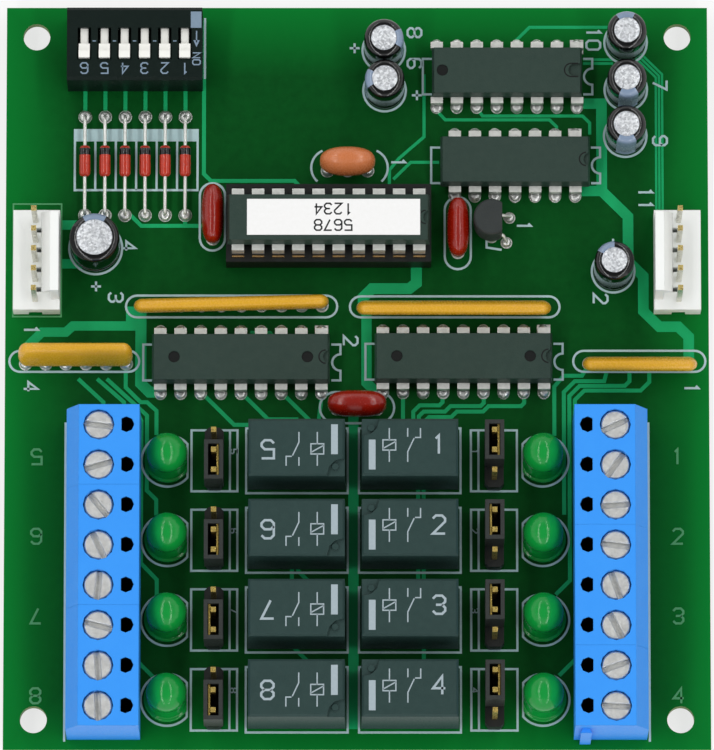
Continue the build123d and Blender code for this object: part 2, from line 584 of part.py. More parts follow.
# Cable connectors, each with its lock wall on the inner side of the pins
connector_pin_points = []
with BuildPart() as cable_connectors:
    for side in SIDES.values():
        length = CONNECTOR_PINS * PITCH + CONNECTOR_END
        upright = Plane(
            origin=(side * CONNECTOR_X, CONNECTOR_Y, BOARD_TOP), x_dir=(-side, 0, 0), z_dir=(0, side, 0)
        )
        level = Plane(
            origin=(side * CONNECTOR_X, CONNECTOR_Y, BOARD_TOP), x_dir=(-side, 0, 0), z_dir=(0, 0, 1)
        )
        lip_bottom = CONNECTOR_WALL_HEIGHT - CONNECTOR_LIP_HEIGHT
        inner_face = CONNECTOR_INNER - CONNECTOR_WALL
        with BuildSketch(upright):
            with BuildLine():
                Polyline(
                    (-CONNECTOR_OUTER, 0),
                    (CONNECTOR_INNER, 0),
                    (CONNECTOR_INNER, CONNECTOR_WALL_HEIGHT),
                    (inner_face, CONNECTOR_WALL_HEIGHT),
                    (inner_face - CONNECTOR_LIP, lip_bottom),
                    (inner_face, lip_bottom),
                    (inner_face, CONNECTOR_BASE_HEIGHT),
                    (-CONNECTOR_OUTER, CONNECTOR_BASE_HEIGHT),
                    close=True,
                )
            make_face()
        extrude(amount=length / 2, both=True)
        # the wall stops short of both ends
        wall_x = side * (CONNECTOR_X - CONNECTOR_INNER + (CONNECTOR_WALL + CONNECTOR_LIP) / 2)
        wall_end = (length - CONNECTOR_WALL_INSET) / 2
        with BuildSketch(Plane.XY.offset(BOARD_TOP + CONNECTOR_BASE_HEIGHT)):
            with Locations((wall_x, CONNECTOR_Y - wall_end), (wall_x, CONNECTOR_Y + wall_end)):
                Rectangle(CONNECTOR_WALL + CONNECTOR_LIP, CONNECTOR_WALL_INSET)
        extrude(amount=CONNECTOR_WALL_HEIGHT - CONNECTOR_BASE_HEIGHT, mode=Mode.SUBTRACT)
        # a slot between each two pins, and a recess at the foot of each end
        slot_points = [(CONNECTOR_SLOT_SHIFT, dx) for dx, dy in row_points(CONNECTOR_PINS - 1, PITCH)]
        with BuildSketch(level):
            with Locations(*slot_points):
                Rectangle(CONNECTOR_SLOT_LENGTH, CONNECTOR_SLOT_WIDTH)
        extrude(amount=CONNECTOR_BASE_HEIGHT, mode=Mode.SUBTRACT)
        with BuildSketch(level):
            with Locations((0, -length / 2), (0, length / 2)):
                Rectangle(CONNECTOR_RECESS_WIDTH, 2 * CONNECTOR_RECESS_DEPTH)
        extrude(amount=CONNECTOR_RECESS_HEIGHT, mode=Mode.SUBTRACT)
        connector_pin_points += [
            (side * CONNECTOR_X, CONNECTOR_Y + dx) for dx, dy in row_points(CONNECTOR_PINS, PITCH)
        ]
finish(cable_connectors, "cable_connectors")

with BuildPart() as header_pins:
    bars(jumper_pin_points, HEADER_PIN, HEADER_PIN, SHORT_TIP, BOARD_TOP + HEADER_PIN_HEIGHT)
    bars(connector_pin_points, HEADER_PIN, HEADER_PIN, 0, BOARD_TOP + CONNECTOR_PIN_HEIGHT)
finish(header_pins, "header_pins")

# Address switch: housing with a window for each slider, and a tunnel that its tail runs into
SWITCH_COLUMNS = [SWITCH_X + dx for dx, dy in row_points(SWITCH_WAYS, PITCH)]
SWITCH_TOP = BOARD_TOP + SWITCH_HEIGHT
SLIDER_LOW = SWITCH_TOP - WINDOW_DEPTH + RUN_GAP
SLIDER_Y = SWITCH_Y - WINDOW_LENGTH / 2 + RUN_GAP + SLIDER_LENGTH / 2
SLIDER_TRAVEL = WINDOW_LENGTH - SLIDER_LENGTH - 2 * RUN_GAP
tail_end = SWITCH_Y + WINDOW_LENGTH / 2 + RUN_GAP
tail_start = SLIDER_Y + SLIDER_LENGTH / 2
tunnel_end = tail_end + SLIDER_TRAVEL + RUN_GAP
with BuildPart() as switch_housing:
    with BuildSketch(Plane.XY.offset(BOARD_TOP)):
        with Locations((SWITCH_X, SWITCH_Y)):
            Rectangle(SWITCH_LENGTH, SWITCH_WIDTH)
    extrude(amount=SWITCH_HEIGHT)
    chamfer(switch_housing.faces().sort_by(Axis.Z)[-1].edges().filter_by(Axis.X), SWITCH_EDGE)
    with BuildSketch(Plane.XY.offset(SWITCH_TOP - WINDOW_DEPTH)) as windows:
        with Locations(*[(x, SWITCH_Y) for x in SWITCH_COLUMNS]):
            Rectangle(WINDOW_WIDTH, WINDOW_LENGTH)
    extrude(windows.sketch, amount=WINDOW_DEPTH, mode=Mode.SUBTRACT)
    with BuildSketch(Plane.XY.offset(SWITCH_TOP - WINDOW_DEPTH)) as tunnels:
        with Locations(*[(x, (SWITCH_Y + tunnel_end) / 2) for x in SWITCH_COLUMNS]):
            Rectangle(TAIL_WIDTH + 2 * RUN_GAP, tunnel_end - SWITCH_Y)
    extrude(tunnels.sketch, amount=TAIL_THICKNESS + 2 * RUN_GAP, mode=Mode.SUBTRACT)
finish(switch_housing, "switch_housing")

for n, x in enumerate(SWITCH_COLUMNS):
    with BuildPart() as switch_slider:
        bars([(x, SLIDER_Y)], WINDOW_WIDTH - 2 * RUN_GAP, SLIDER_LENGTH, SLIDER_LOW, SWITCH_TOP - RUN_GAP)
        nub_y = SLIDER_Y - (SLIDER_LENGTH - NUB_LENGTH) / 2
        nub_low = SWITCH_TOP - RUN_GAP
        bars([(x, nub_y)], WINDOW_WIDTH - 2 * RUN_GAP, NUB_LENGTH, nub_low, SWITCH_TOP + SLIDER_RISE)
        tail_y = (tail_start + tail_end) / 2
        bars([(x, tail_y)], TAIL_WIDTH, tail_end - tail_start, SLIDER_LOW, SLIDER_LOW + TAIL_THICKNESS)
    finish(switch_slider, f"switch_slider_{n + 1}")


# Chips. Each body narrows up and down from the level of its leads, and may have sunk mould marks.
def chip_body(chip, seat, notch_straight=0, dimples=()):
    x, y, pins, length = chip
    mid = Plane.XY.offset(BOARD_TOP + seat + CHIP_THICKNESS / 2)
    with BuildSketch(mid) as outline:
        with Locations((x, y)):
            Rectangle(length, CHIP_WIDTH)
    for direction in (1, -1):
        extrude(outline.sketch, amount=direction * CHIP_THICKNESS / 2, taper=CHIP_DRAFT)
    with BuildSketch(Plane.XY.offset(BOARD_TOP + seat + CHIP_THICKNESS - NOTCH_DEPTH)) as notch:
        with Locations((x + length / 2 - notch_straight, y)):
            RegularPolygon(NOTCH_RADIUS, ROUND_SIDES)
        if notch_straight:
            with Locations((x + length / 2, y)):
                Rectangle(2 * notch_straight, 2 * NOTCH_RADIUS)
    extrude(notch.sketch, amount=NOTCH_DEPTH, mode=Mode.SUBTRACT)
    for dimple in dimples:
        with BuildSketch(Plane.XY.offset(BOARD_TOP + seat + CHIP_THICKNESS - DIMPLE_DEPTH)) as mark:
            with Locations((x + dimple, y)):
                RegularPolygon(DIMPLE_RADIUS, ROUND_SIDES)
        extrude(mark.sketch, amount=DIMPLE_DEPTH, mode=Mode.SUBTRACT)


def chip_lead_points(x, y, pins, offset):
    points = []
    for dx, dy in row_points(pins // 2, PITCH):
        points += [(x + dx, y - offset), (x + dx, y + offset)]
    return points


LEAD_OUTER = CHIP_ROW_SPACING / 2 + LEAD_THICKNESS / 2
SHOULDER_DEPTH = LEAD_OUTER - CHIP_WIDTH / 2


def chip_shoulders(chip, seat, drop):
    # the wide part of the leads beside the body, down from its middle
    x, y, pins, length = chip
    high = BOARD_TOP + seat + CHIP_THICKNESS / 2 + LEAD_THICKNESS / 2
    shoulders = chip_lead_points(x, y, pins, LEAD_OUTER - SHOULDER_DEPTH / 2)
    bars(shoulders, LEAD_SHOULDER, SHOULDER_DEPTH, high - drop, high)
    return high - drop


with BuildPart() as line_transceiver:
    transceiver_dimple = TRANSCEIVER_DIMPLE_INSET - LINE_TRANSCEIVER[3] / 2
    chip_body(LINE_TRANSCEIVER, CHIP_SEAT, LONG_NOTCH, [transceiver_dimple])
finish(line_transceiver, "line_transceiver")

with BuildPart() as logic_chip:
    chip_body(LOGIC_CHIP, CHIP_SEAT)
finish(logic_chip, "logic_chip")

with BuildPart() as relay_drivers:
    driver_dimple = DRIVER_LENGTH / 2 - DIMPLE_INSET
    for driver in RELAY_DRIVERS:
        chip_body(driver, CHIP_SEAT, 0, [-driver_dimple, driver_dimple])
finish(relay_drivers, "relay_drivers")

SOCKET_SEAT = SOCKET_HEIGHT + CHIP_SEAT / 2
with BuildPart() as microcontroller:
    chip_body(MICROCONTROLLER, SOCKET_SEAT)
finish(microcontroller, "microcontroller")

# Socket: a frame with a pocket for each lead
chip_x, chip_y, socket_pins, chip_length = MICROCONTROLLER
with BuildPart() as chip_socket:
    with BuildSketch(Plane.XY.offset(BOARD_TOP)):
        with Locations((chip_x, chip_y)):
            Rectangle(SOCKET_LENGTH, SOCKET_WIDTH)
            Rectangle(SOCKET_WINDOW_LENGTH, SOCKET_WINDOW_WIDTH, mode=Mode.SUBTRACT)
    extrude(amount=SOCKET_HEIGHT)
    with BuildSketch(Plane.XY.offset(BOARD_TOP + SOCKET_HEIGHT - SOCKET_POCKET_DEPTH)):
        with Locations(*chip_lead_points(chip_x, chip_y, socket_pins, CHIP_ROW_SPACING / 2)):
            Rectangle(LEAD_SHOULDER, SOCKET_POCKET_WIDTH)
    extrude(amount=SOCKET_POCKET_DEPTH, mode=Mode.SUBTRACT)
finish(chip_socket, "chip_socket")

with BuildPart() as microcontroller_label:
    label_low = BOARD_TOP + SOCKET_SEAT + CHIP_THICKNESS
    bars([(chip_x + LABEL_SHIFT, chip_y)], LABEL_LENGTH, LABEL_WIDTH, label_low, label_low + LABEL_THICKNESS)
finish(microcontroller_label, "microcontroller_label")

with BuildPart() as chip_leads:
    for chip in (LINE_TRANSCEIVER, LOGIC_CHIP, *RELAY_DRIVERS):
        tip_high = chip_shoulders(chip, CHIP_SEAT, LEAD_DROP)
        bars(chip_lead_points(*chip[:3], CHIP_ROW_SPACING / 2), LEAD_TIP, LEAD_THICKNESS, SHORT_TIP, tip_high)
    # the leads in the socket reach the floor of its pockets, and its own pins go on below
    lead_level = SOCKET_SEAT + CHIP_THICKNESS / 2 + LEAD_THICKNESS / 2
    chip_shoulders(MICROCONTROLLER, SOCKET_SEAT, lead_level - SOCKET_HEIGHT + SOCKET_POCKET_DEPTH)
    socket_pin_points = chip_lead_points(chip_x, chip_y, socket_pins, CHIP_ROW_SPACING / 2)
    bars(socket_pin_points, LEAD_TIP, LEAD_THICKNESS, SHORT_TIP, BOARD_TOP)
    switch_pin_points = chip_lead_points(SWITCH_X, SWITCH_Y, 2 * SWITCH_WAYS, CHIP_ROW_SPACING / 2)
    bars(switch_pin_points, LEAD_TIP, LEAD_THICKNESS, SHORT_TIP, BOARD_TOP)
finish(chip_leads, "chip_leads")


def rounded_bar(length, thickness):
    # a bar with half round ends, as seen from above, added to the open sketch
    Rectangle(length - thickness, thickness)
    with Locations((-(length - thickness) / 2, 0), ((length - thickness) / 2, 0)):
        RegularPolygon(thickness / 2 / cos(radians(180 / FINE_SIDES)), FINE_SIDES, rotation=180 / FINE_SIDES)


def leaning_plane(x, y, z, lean, turn=0):
    # a level plane tipped towards +Y, then turned about Z
    return Plane(origin=(x, y, z), z_dir=(0, 0, 1)).rotated((-lean, 0, turn))


# Resistor networks
with BuildPart() as resistor_networks:
    for x, y, pins, lean, turn in NETWORKS:
        with BuildSketch(leaning_plane(x, y, BOARD_TOP + NETWORK_STANDOFF, lean, turn)):
            rounded_bar((pins - 1) * PITCH + 2 * NETWORK_END, NETWORK_THICKNESS)
        extrude(amount=NETWORK_HEIGHT)
finish(resistor_networks, "resistor_networks")

# Electrolytic capacitors: the sleeve folds over the edge of the can
with BuildPart() as electrolytic_capacitors:
    cans = [(x, y, CAN_RADIUS, CAN_HEIGHT) for x, y in SMALL_CANS]
    cans.append((*LARGE_CAN, LARGE_CAN_RADIUS, LARGE_CAN_HEIGHT))
    for x, y, radius, height in cans:
        with BuildSketch(Plane.XY.offset(BOARD_TOP + CAN_STANDOFF)):
            with Locations((x, y)):
                RegularPolygon(radius, ROUND_SIDES)
        extrude(amount=height - CAN_FOLD)
        with BuildSketch(Plane.XY.offset(BOARD_TOP + CAN_STANDOFF + height - CAN_FOLD)):
            with Locations((x, y)):
                RegularPolygon(radius, ROUND_SIDES)
        extrude(amount=CAN_FOLD, taper=45)
finish(electrolytic_capacitors, "electrolytic_capacitors")


def dipped_body(plane, length, thickness, height):
    # upright sides and a crown that draws in
    with BuildSketch(plane) as lower:
        rounded_bar(length, thickness)
    extrude(lower.sketch, amount=height - DIP_CROWN)
    with BuildSketch(plane.offset(height - DIP_CROWN)) as upper:
        rounded_bar(length, thickness)
    extrude(upper.sketch, amount=DIP_CROWN, taper=DIP_TAPER)


with BuildPart() as ceramic_capacitors:
    for x, y, thickness, turn in CERAMICS:
        plane = leaning_plane(x, y, BOARD_TOP + CERAMIC_STANDOFF, 0, turn)
        dipped_body(plane, CERAMIC_LENGTH, thickness, CERAMIC_HEIGHT)
finish(ceramic_capacitors, "ceramic_capacitors")

with BuildPart() as resonator:
    plane = leaning_plane(*RESONATOR, BOARD_TOP + CERAMIC_STANDOFF, RESONATOR_LEAN)
    dipped_body(plane, RESONATOR_LENGTH, RESONATOR_THICKNESS, RESONATOR_HEIGHT)
finish(resonator, "resonator")

with BuildPart() as regulator:
    with BuildSketch(Plane.XY.offset(BOARD_TOP + REGULATOR_STANDOFF)):
        with Locations(REGULATOR):
            RegularPolygon(REGULATOR_RADIUS, ROUND_SIDES)
        with Locations((REGULATOR[0] + REGULATOR_FLAT + REGULATOR_RADIUS, REGULATOR[1])):
            Rectangle(2 * REGULATOR_RADIUS, 2 * REGULATOR_RADIUS, mode=Mode.SUBTRACT)
    extrude(amount=REGULATOR_HEIGHT)
finish(regulator, "regulator")

# Diodes between the switch and their pads
with BuildPart() as diodes:
    for x in SWITCH_COLUMNS:
        start = DIODE_Y + DIODE_SHIFT - DIODE_LENGTH / 2
        along = Plane(origin=(x, start, BOARD_TOP + DIODE_RISE), x_dir=(1, 0, 0), z_dir=(0, 1, 0))
        with BuildSketch(along):
            RegularPolygon(DIODE_RADIUS, FINE_SIDES)
        extrude(amount=DIODE_LENGTH)
finish(diodes, "diodes")

# Leads of the parts that stand on wires
with BuildPart() as component_leads:
    stiff = []
    for lamp_x, turn in LAMP_COLUMNS:
        stiff += [(lamp_x + dx, y) for y in ROWS for dx, dy in row_points(2, PITCH)]
    bars(stiff, CAN_LEAD, CAN_LEAD, SHORT_TIP, BOARD_TOP)
    can_points = []
    for x, y in (*SMALL_CANS, LARGE_CAN):
        can_points += [(x, y + dx) for dx, dy in row_points(2, CAN_LEAD_SPACING)]
    bars(can_points, CAN_LEAD, CAN_LEAD, SHORT_TIP, BOARD_TOP + CAN_STANDOFF)
    ceramic_points = []
    for x, y, thickness, turn in CERAMICS:
        for dx, dy in row_points(2, CERAMIC_LEAD_SPACING):
            ceramic_points.append((x, y + dx) if turn else (x + dx, y))
    bars(ceramic_points, CAN_LEAD, CAN_LEAD, SHORT_TIP, BOARD_TOP + CERAMIC_STANDOFF)
    resonator_points = [(RESONATOR[0] + dx, RESONATOR[1]) for dx, dy in row_points(3, PITCH)]
    bars(resonator_points, CAN_LEAD, CAN_LEAD, SHORT_TIP, BOARD_TOP + CERAMIC_STANDOFF - LEAN_GAP)
    regulator_points = [(REGULATOR[0], REGULATOR[1] + dx) for dx, dy in row_points(3, REGULATOR_LEAD_PITCH)]
    bars(regulator_points, CAN_LEAD, CAN_LEAD, SHORT_TIP, BOARD_TOP + REGULATOR_STANDOFF)
    network_points = []
    for x, y, pins, lean, turn in NETWORKS:
        network_points += [(x + dx, y) for dx, dy in row_points(pins, PITCH)]
    bars(network_points, NETWORK_LEAD, NETWORK_LEAD, SHORT_TIP, BOARD_TOP + NETWORK_STANDOFF - LEAN_GAP)
    # bent diode leads, from each end of the glass down through the board
    axis_level = BOARD_TOP + DIODE_RISE
    for x in SWITCH_COLUMNS:
        for end in (-1, 1):
            glass_end = DIODE_Y + DIODE_SHIFT + end * DIODE_LENGTH / 2
            pad = DIODE_Y + end * DIODE_SPAN / 2
            outer = pad + end * DIODE_LEAD / 2
            inner = pad - end * DIODE_LEAD / 2
            with BuildSketch(Plane.YZ.offset(x)):
                with BuildLine():
                    Polyline(
                        (glass_end, axis_level - DIODE_LEAD / 2),
                        (inner, axis_level - DIODE_LEAD / 2),
                        (inner, SHORT_TIP),
                        (outer, SHORT_TIP),
                        (outer, axis_level + DIODE_LEAD / 2),
                        (glass_end, axis_level + DIODE_LEAD / 2),
                        close=True,
                    )
                make_face()
            extrude(amount=DIODE_LEAD / 2, both=True)
finish(component_leads, "component_leads")
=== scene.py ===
import json
from math import acos, atan2, cos, degrees, hypot, pi, radians, sin
from random import Random

import bmesh
import bpy
from mathutils import Matrix, Vector


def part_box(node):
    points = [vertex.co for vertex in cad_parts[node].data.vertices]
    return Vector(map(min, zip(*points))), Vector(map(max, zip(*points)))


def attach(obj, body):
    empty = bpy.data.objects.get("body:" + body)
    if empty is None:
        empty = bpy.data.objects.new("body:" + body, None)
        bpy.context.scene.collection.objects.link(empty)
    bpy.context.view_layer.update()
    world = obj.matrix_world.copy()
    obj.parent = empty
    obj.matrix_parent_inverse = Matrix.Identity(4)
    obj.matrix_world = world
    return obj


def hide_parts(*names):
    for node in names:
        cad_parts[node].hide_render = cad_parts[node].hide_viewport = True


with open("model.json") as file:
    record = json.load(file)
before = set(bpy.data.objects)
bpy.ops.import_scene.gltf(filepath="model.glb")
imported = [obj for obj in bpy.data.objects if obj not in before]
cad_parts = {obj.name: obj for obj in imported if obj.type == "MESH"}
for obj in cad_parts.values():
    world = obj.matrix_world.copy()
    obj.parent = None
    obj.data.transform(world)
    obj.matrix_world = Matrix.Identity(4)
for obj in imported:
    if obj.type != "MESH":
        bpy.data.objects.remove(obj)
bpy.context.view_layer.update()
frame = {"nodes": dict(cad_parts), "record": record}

# Looks of the relay module board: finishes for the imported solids, smooth detailed pieces where a solid
# is plain, and the tracks, solder and printed legend of the board. Shapes are given in mm.

MM = 0.001
SMOOTH_ANGLE = 32
MERGE = 1e-5
WHITE = (1.0, 1.0, 1.0, 1.0)
FINE_NOISE = (0.3, 0.7)
NOISE_STEP = 0.55
METAL_EDGE = 0.08
PITCH = 2.54


def corners(node):
    """The lowest and highest corner of a node, in mm."""
    low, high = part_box(node)
    return low / MM, high / MM


board_low, board_high = corners("circuit_board")
BOARD_BOTTOM = board_low.z
BOARD_TOP = board_high.z
COPPER = BOARD_TOP + 0.03
INK = BOARD_TOP + 0.06


def solid_boxes(node):
    """The lowest and highest corner of each separate solid of a node, in mm, from left to right."""
    shape = bmesh.new()
    shape.from_mesh(frame["nodes"][node].data)
    bmesh.ops.remove_doubles(shape, verts=shape.verts, dist=MERGE * MM)
    left = set(shape.verts)
    boxes = []
    for first in list(shape.verts):
        if first not in left:
            continue
        left.remove(first)
        group = [first]
        for vert in group:
            for edge in vert.link_edges:
                other = edge.other_vert(vert)
                if other in left:
                    left.remove(other)
                    group.append(other)
        low = Vector([min(v.co[i] for v in group) for i in range(3)]) / MM
        high = Vector([max(v.co[i] for v in group) for i in range(3)]) / MM
        boxes.append((low, high))
    shape.free()
    return sorted(boxes, key=lambda box: (round(box[0].x, 2), round(box[0].y, 2)))


def middle(low, high):
    """The middle of a box, seen from above."""
    return (low.x + high.x) / 2, (low.y + high.y) / 2


def nearest(values, x, y):
    """The value whose place is closest."""
    return min(values.items(), key=lambda item: hypot(item[0][0] - x, item[0][1] - y))[1]


def add_object(name, data):
    piece = bpy.data.objects.new(name, data)
    bpy.context.scene.collection.objects.link(piece)
    return piece


# Finishes
def rgb(red, green, blue):
    """Linear colour of a screen colour given from 0 to 255."""
    linear = []
    for value in (red, green, blue):
        share = value / 255
        linear.append(share / 12.92 if share <= 0.04045 else ((share + 0.055) / 1.055) ** 2.4)
    return (*linear, 1.0)


def fill(tree, node, values):
    """Sets the inputs of a shader node, and joins those whose value is a socket."""
    for key, value in values.items():
        if isinstance(value, bpy.types.NodeSocket):
            tree.links.new(value, node.inputs[key])
        else:
            node.inputs[key].default_value = value
    return node


def maths(tree, operation, *values):
    node = tree.nodes.new("ShaderNodeMath")
    node.operation = operation
    return fill(tree, node, dict(enumerate(values))).outputs["Value"]


def spread(tree, value, low, high, start=0.0, end=1.0, smooth=False):
    """A value that runs from start to end, spread from low to high."""
    node = tree.nodes.new("ShaderNodeMapRange")
    if smooth:
        node.interpolation_type = "SMOOTHSTEP"
    values = {"Value": value, "From Min": start, "From Max": end, "To Min": low, "To Max": high}
    return fill(tree, node, values).outputs["Result"]


class Finish:
    """A procedural material: two colours mixed by noise, uneven roughness, and fine bumps."""

    def __init__(self, name, colour, second, blotch=2.0, roughness=(0.4, 0.55), bump=0.2, grain=0.25):
        self.material = bpy.data.materials.new(name)
        self.material.use_nodes = True
        self.tree = self.material.node_tree
        self.shader = self.tree.nodes["Principled BSDF"]
        self.place = self.tree.nodes.new("ShaderNodeTexCoord").outputs["Object"]
        self.colour = self.mix(self.noise(blotch, 4.0), rgb(*colour), rgb(*second))
        fine = self.noise(grain, 3.0)
        self.bump = self.node("Bump", {"Strength": bump, "Distance": grain * MM * 0.3, "Height": fine})
        rough = spread(self.tree, fine, *roughness, *FINE_NOISE)
        self.set(base_color=self.colour, roughness=rough, normal=self.bump.outputs["Normal"])

    def node(self, kind, values):
        return fill(self.tree, self.tree.nodes.new(f"ShaderNode{kind}"), values)

    def noise(self, size, detail):
        values = {"Scale": 1 / (size * MM), "Detail": detail, "Roughness": NOISE_STEP, "Vector": self.place}
        return self.node("TexNoise", values).outputs["Fac"]

    def mix(self, share, first, second):
        blend = self.tree.nodes.new("ShaderNodeMix")
        blend.data_type = "RGBA"
        return fill(self.tree, blend, {"Factor": share, "A": first, "B": second}).outputs["Result"]

    def along(self, axis, start, end, both=False):
        """Zero below one level in mm and one above another, along an axis, or each way along it."""
        level = self.node("SeparateXYZ", {"Vector": self.place}).outputs[axis]
        if both:
            level = maths(self.tree, "ABSOLUTE", level)
        return spread(self.tree, level, 0.0, 1.0, start * MM, end * MM)

    def rounded(self, radius):
        """Catches light on the edges as a small rounding would."""
        bevel = self.node("Bevel", {"Radius": radius * MM})
        bevel.samples = 4
        fill(self.tree, self.bump, {"Normal": bevel.outputs["Normal"]})
        return self

    def set(self, **values):
        for name, value in values.items():
            fill(self.tree, self.shader, {name.replace("_", " ").title().replace("Ior", "IOR"): value})
        return self

    def speckle(self, size, dark, share):
        """Small facets of a darker colour, as on brushed or etched metal."""
        cells = self.node("TexVoronoi", {"Scale": 1 / (size * MM), "Vector": self.place})
        tone = self.node("SeparateColor", {"Color": cells.outputs["Color"]})
        amount = spread(self.tree, tone.outputs["Red"], 0.0, share)
        return self.set(base_color=self.mix(amount, self.colour, dark))


def plastic(name, colour, second, edge=0.12, specular=0.3, **rest):
    return Finish(name, colour, second, **rest).rounded(edge).set(specular_ior_level=specular).material


def metal(name, colour, second, metallic, *rest):
    return Finish(name, colour, second, *rest).rounded(METAL_EDGE).set(metallic=metallic).material


def lead_finish():
    """Tinned leads, bright at the shoulder, with painted shade that makes them darker below it."""
    finish = Finish("shaded_lead_plating", (242, 243, 238), (216, 218, 212), 0.6, (0.3, 0.5), 0.3).rounded(0.1)
    # Painted shade: a darker grey on the part of each lead below the shoulder
    tone = finish.mix(finish.along("Z", *LEAD_SHADE_LEVELS), rgb(118, 124, 120), finish.colour)
    return finish.set(base_color=tone, metallic=0.75).material


def pin_finish():
    """Gold pins under the shunts, and tinned ones with a gold tip in the connectors at the sides."""
    finish = Finish("pin_plating", *GOLD, 0.5, (0.2, 0.4)).rounded(METAL_EDGE)
    silver = finish.mix(finish.along("Z", *CONNECTOR_TIP), rgb(214, 212, 198), rgb(230, 206, 130))
    outer = finish.along("X", *CONNECTOR_REACH, both=True)
    return finish.set(base_color=finish.mix(outer, finish.colour, silver), metallic=0.85).material


def board_finish():
    """Green solder mask with painted light, brighter near the edges where light comes through; bare glass
    fibre sides.
    """
    finish = Finish("solder_mask", (0, 66, 20), (4, 84, 28), 1.2, (0.4, 0.5), 0.12, 0.3)
    # Painted light: the mask colour turns brighter within EDGE_GLOW mm of the board's edges
    across = finish.along("X", board_high.x - EDGE_GLOW, board_high.x, both=True)
    down = finish.along("Y", board_high.y - EDGE_GLOW, board_high.y, both=True)
    lit = finish.mix(maths(finish.tree, "MAXIMUM", across, down), finish.colour, rgb(2, 118, 42))
    normal = finish.tree.nodes.new("ShaderNodeNewGeometry").outputs["Normal"]
    upright = maths(finish.tree, "ABSOLUTE", finish.node("SeparateXYZ", {"Vector": normal}).outputs["Z"])
    flat = spread(finish.tree, upright, 0.0, 1.0, 0.4, 0.6)
    return finish.set(base_color=finish.mix(flat, rgb(120, 150, 80), lit), specular_ior_level=0.06).material


EDGE_GLOW = 9.0
# Levels in mm where the painted shade of the leads gives way to their bright tin
LEAD_SHADE_LEVELS = (4.7, 5.9)
CONNECTOR_TIP = (14.3, 14.6)
CONNECTOR_REACH = (29.0, 30.0)
GOLD = ((232, 206, 120), (206, 176, 92))
PRINT = {"edge": 0.02, "specular": 0.1, "grain": 0.1}
GLOSSY = {"edge": 0.05, "specular": 0.5}
mask = board_finish()
track_mask = plastic("track_mask", (10, 158, 92), (20, 172, 106), 0.02, 0.15, blotch=1.5)
ink = plastic("legend_ink", (188, 214, 216), (168, 198, 202), blotch=0.5, **PRINT)
dim_ink = plastic("dim_legend", (90, 165, 110), (80, 150, 100), blotch=0.5, **PRINT)
print_black = plastic("label_ink", (24, 26, 26), (50, 52, 52), blotch=0.3, **PRINT)
# Black for the painted shade inside the test holes
hole_shade_black = plastic("hole_shade_paint", (4, 6, 14), (8, 10, 20), 0.02, 0.02, blotch=0.5, roughness=(0.8, 0.9))
switch_ink = plastic("switch_ink", (140, 160, 178), (120, 140, 160), 0.02, 0.1, blotch=0.5)
terminal_blue = plastic("terminal_blue", (50, 150, 250), (58, 158, 254), 0.15, 0.25, blotch=3.0)
relay_black = plastic("relay_black", (34, 58, 56), (44, 68, 65), 0.15, 0.25, blotch=1.0, bump=0.5)
relay_mark = plastic("relay_mark", (176, 190, 196), (160, 176, 184), 0.02, 0.1, blotch=0.4)
chip_black = plastic("chip_black", (36, 57, 50), (48, 66, 58), 0.08, 0.25, blotch=0.8, bump=0.6)
socket_black = plastic("socket_black", (16, 18, 18), (24, 26, 25), 0.08, 0.25, blotch=1.0)
header_black = plastic("header_black", (20, 22, 22), (30, 32, 31), 0.08, 0.25, blotch=0.6, bump=0.4)
shunt_black = plastic("shunt_black", (40, 43, 42), (54, 57, 55), 0.1, 0.25, blotch=0.4, bump=0.6)
switch_black = plastic("switch_black", (4, 20, 16), (12, 28, 24), 0.12, 0.14, blotch=1.0, bump=0.3)
slider_white = plastic("slider_white", (253, 253, 248), (247, 247, 240), 0.06, 0.3)
connector_white = plastic("connector_white", (252, 254, 253), (245, 248, 245), 0.15, 0.35, blotch=4.0)
paper = plastic("label_paper", (252, 252, 252), (244, 244, 242), 0.02, 0.1, blotch=0.5, bump=0.3)
regulator_black = plastic("regulator_case", (44, 49, 49), (54, 59, 58), 0.08, 0.25, bump=0.5)
# Dark for the dimple floors, and for the painted shade along the notch edges
dimple_and_notch_shade = plastic("mould_mark_and_shade", (12, 15, 15), (20, 23, 22), 0.02, 0.2)
network_yellow = plastic(
    "network_coat", (230, 176, 46), (220, 162, 36), blotch=2.5, roughness=(0.22, 0.32), **GLOSSY
)
resonator_orange = plastic(
    "resonator_coat", (214, 128, 78), (196, 110, 62), roughness=(0.2, 0.35), **GLOSSY
)
ceramic_red = plastic("ceramic_coat", (154, 22, 0), (134, 14, 0), 0.05, 0.6, roughness=(0.16, 0.3))
sleeve_black = plastic("can_sleeve", (5, 6, 8), (10, 12, 13), 0.02, 0.55, roughness=(0.05, 0.12))
sleeve_stripe = plastic("can_stripe", (140, 158, 184), (120, 140, 166), 0.02, 0.6, roughness=(0.15, 0.3))
diode_red = plastic(
    "diode_body", (206, 62, 38), (168, 40, 26), 0.02, 0.6, blotch=0.7, roughness=(0.08, 0.16)
)
diode_band = plastic("diode_band", (12, 12, 14), (26, 24, 24), 0.02, 0.6, roughness=(0.08, 0.2))
lamp_green = plastic(
    "lamp_lens", (18, 156, 64), (14, 144, 56), 0.02, 0.35, blotch=3.0, roughness=(0.1, 0.16)
)
solder = metal("solder", (236, 237, 234), (188, 190, 188), 0.8, 0.7, (0.24, 0.5), 0.6, 0.5)
tin = metal("tinned_lead", (240, 241, 236), (214, 216, 210), 0.75, 0.6, (0.3, 0.5), 0.3)
zinc = metal("screw_zinc", (240, 240, 236), (176, 177, 174), 0.7, 0.7, (0.3, 0.5), 0.6, 0.3)
brass = metal("contact_brass", (196, 160, 110), (160, 130, 90), 1.0, 1.0, (0.25, 0.4))
gold = metal("pin_gold", *GOLD, 1.0, 0.5, (0.2, 0.4))
pin_plating = pin_finish()
shaded_lead_plating = lead_finish()
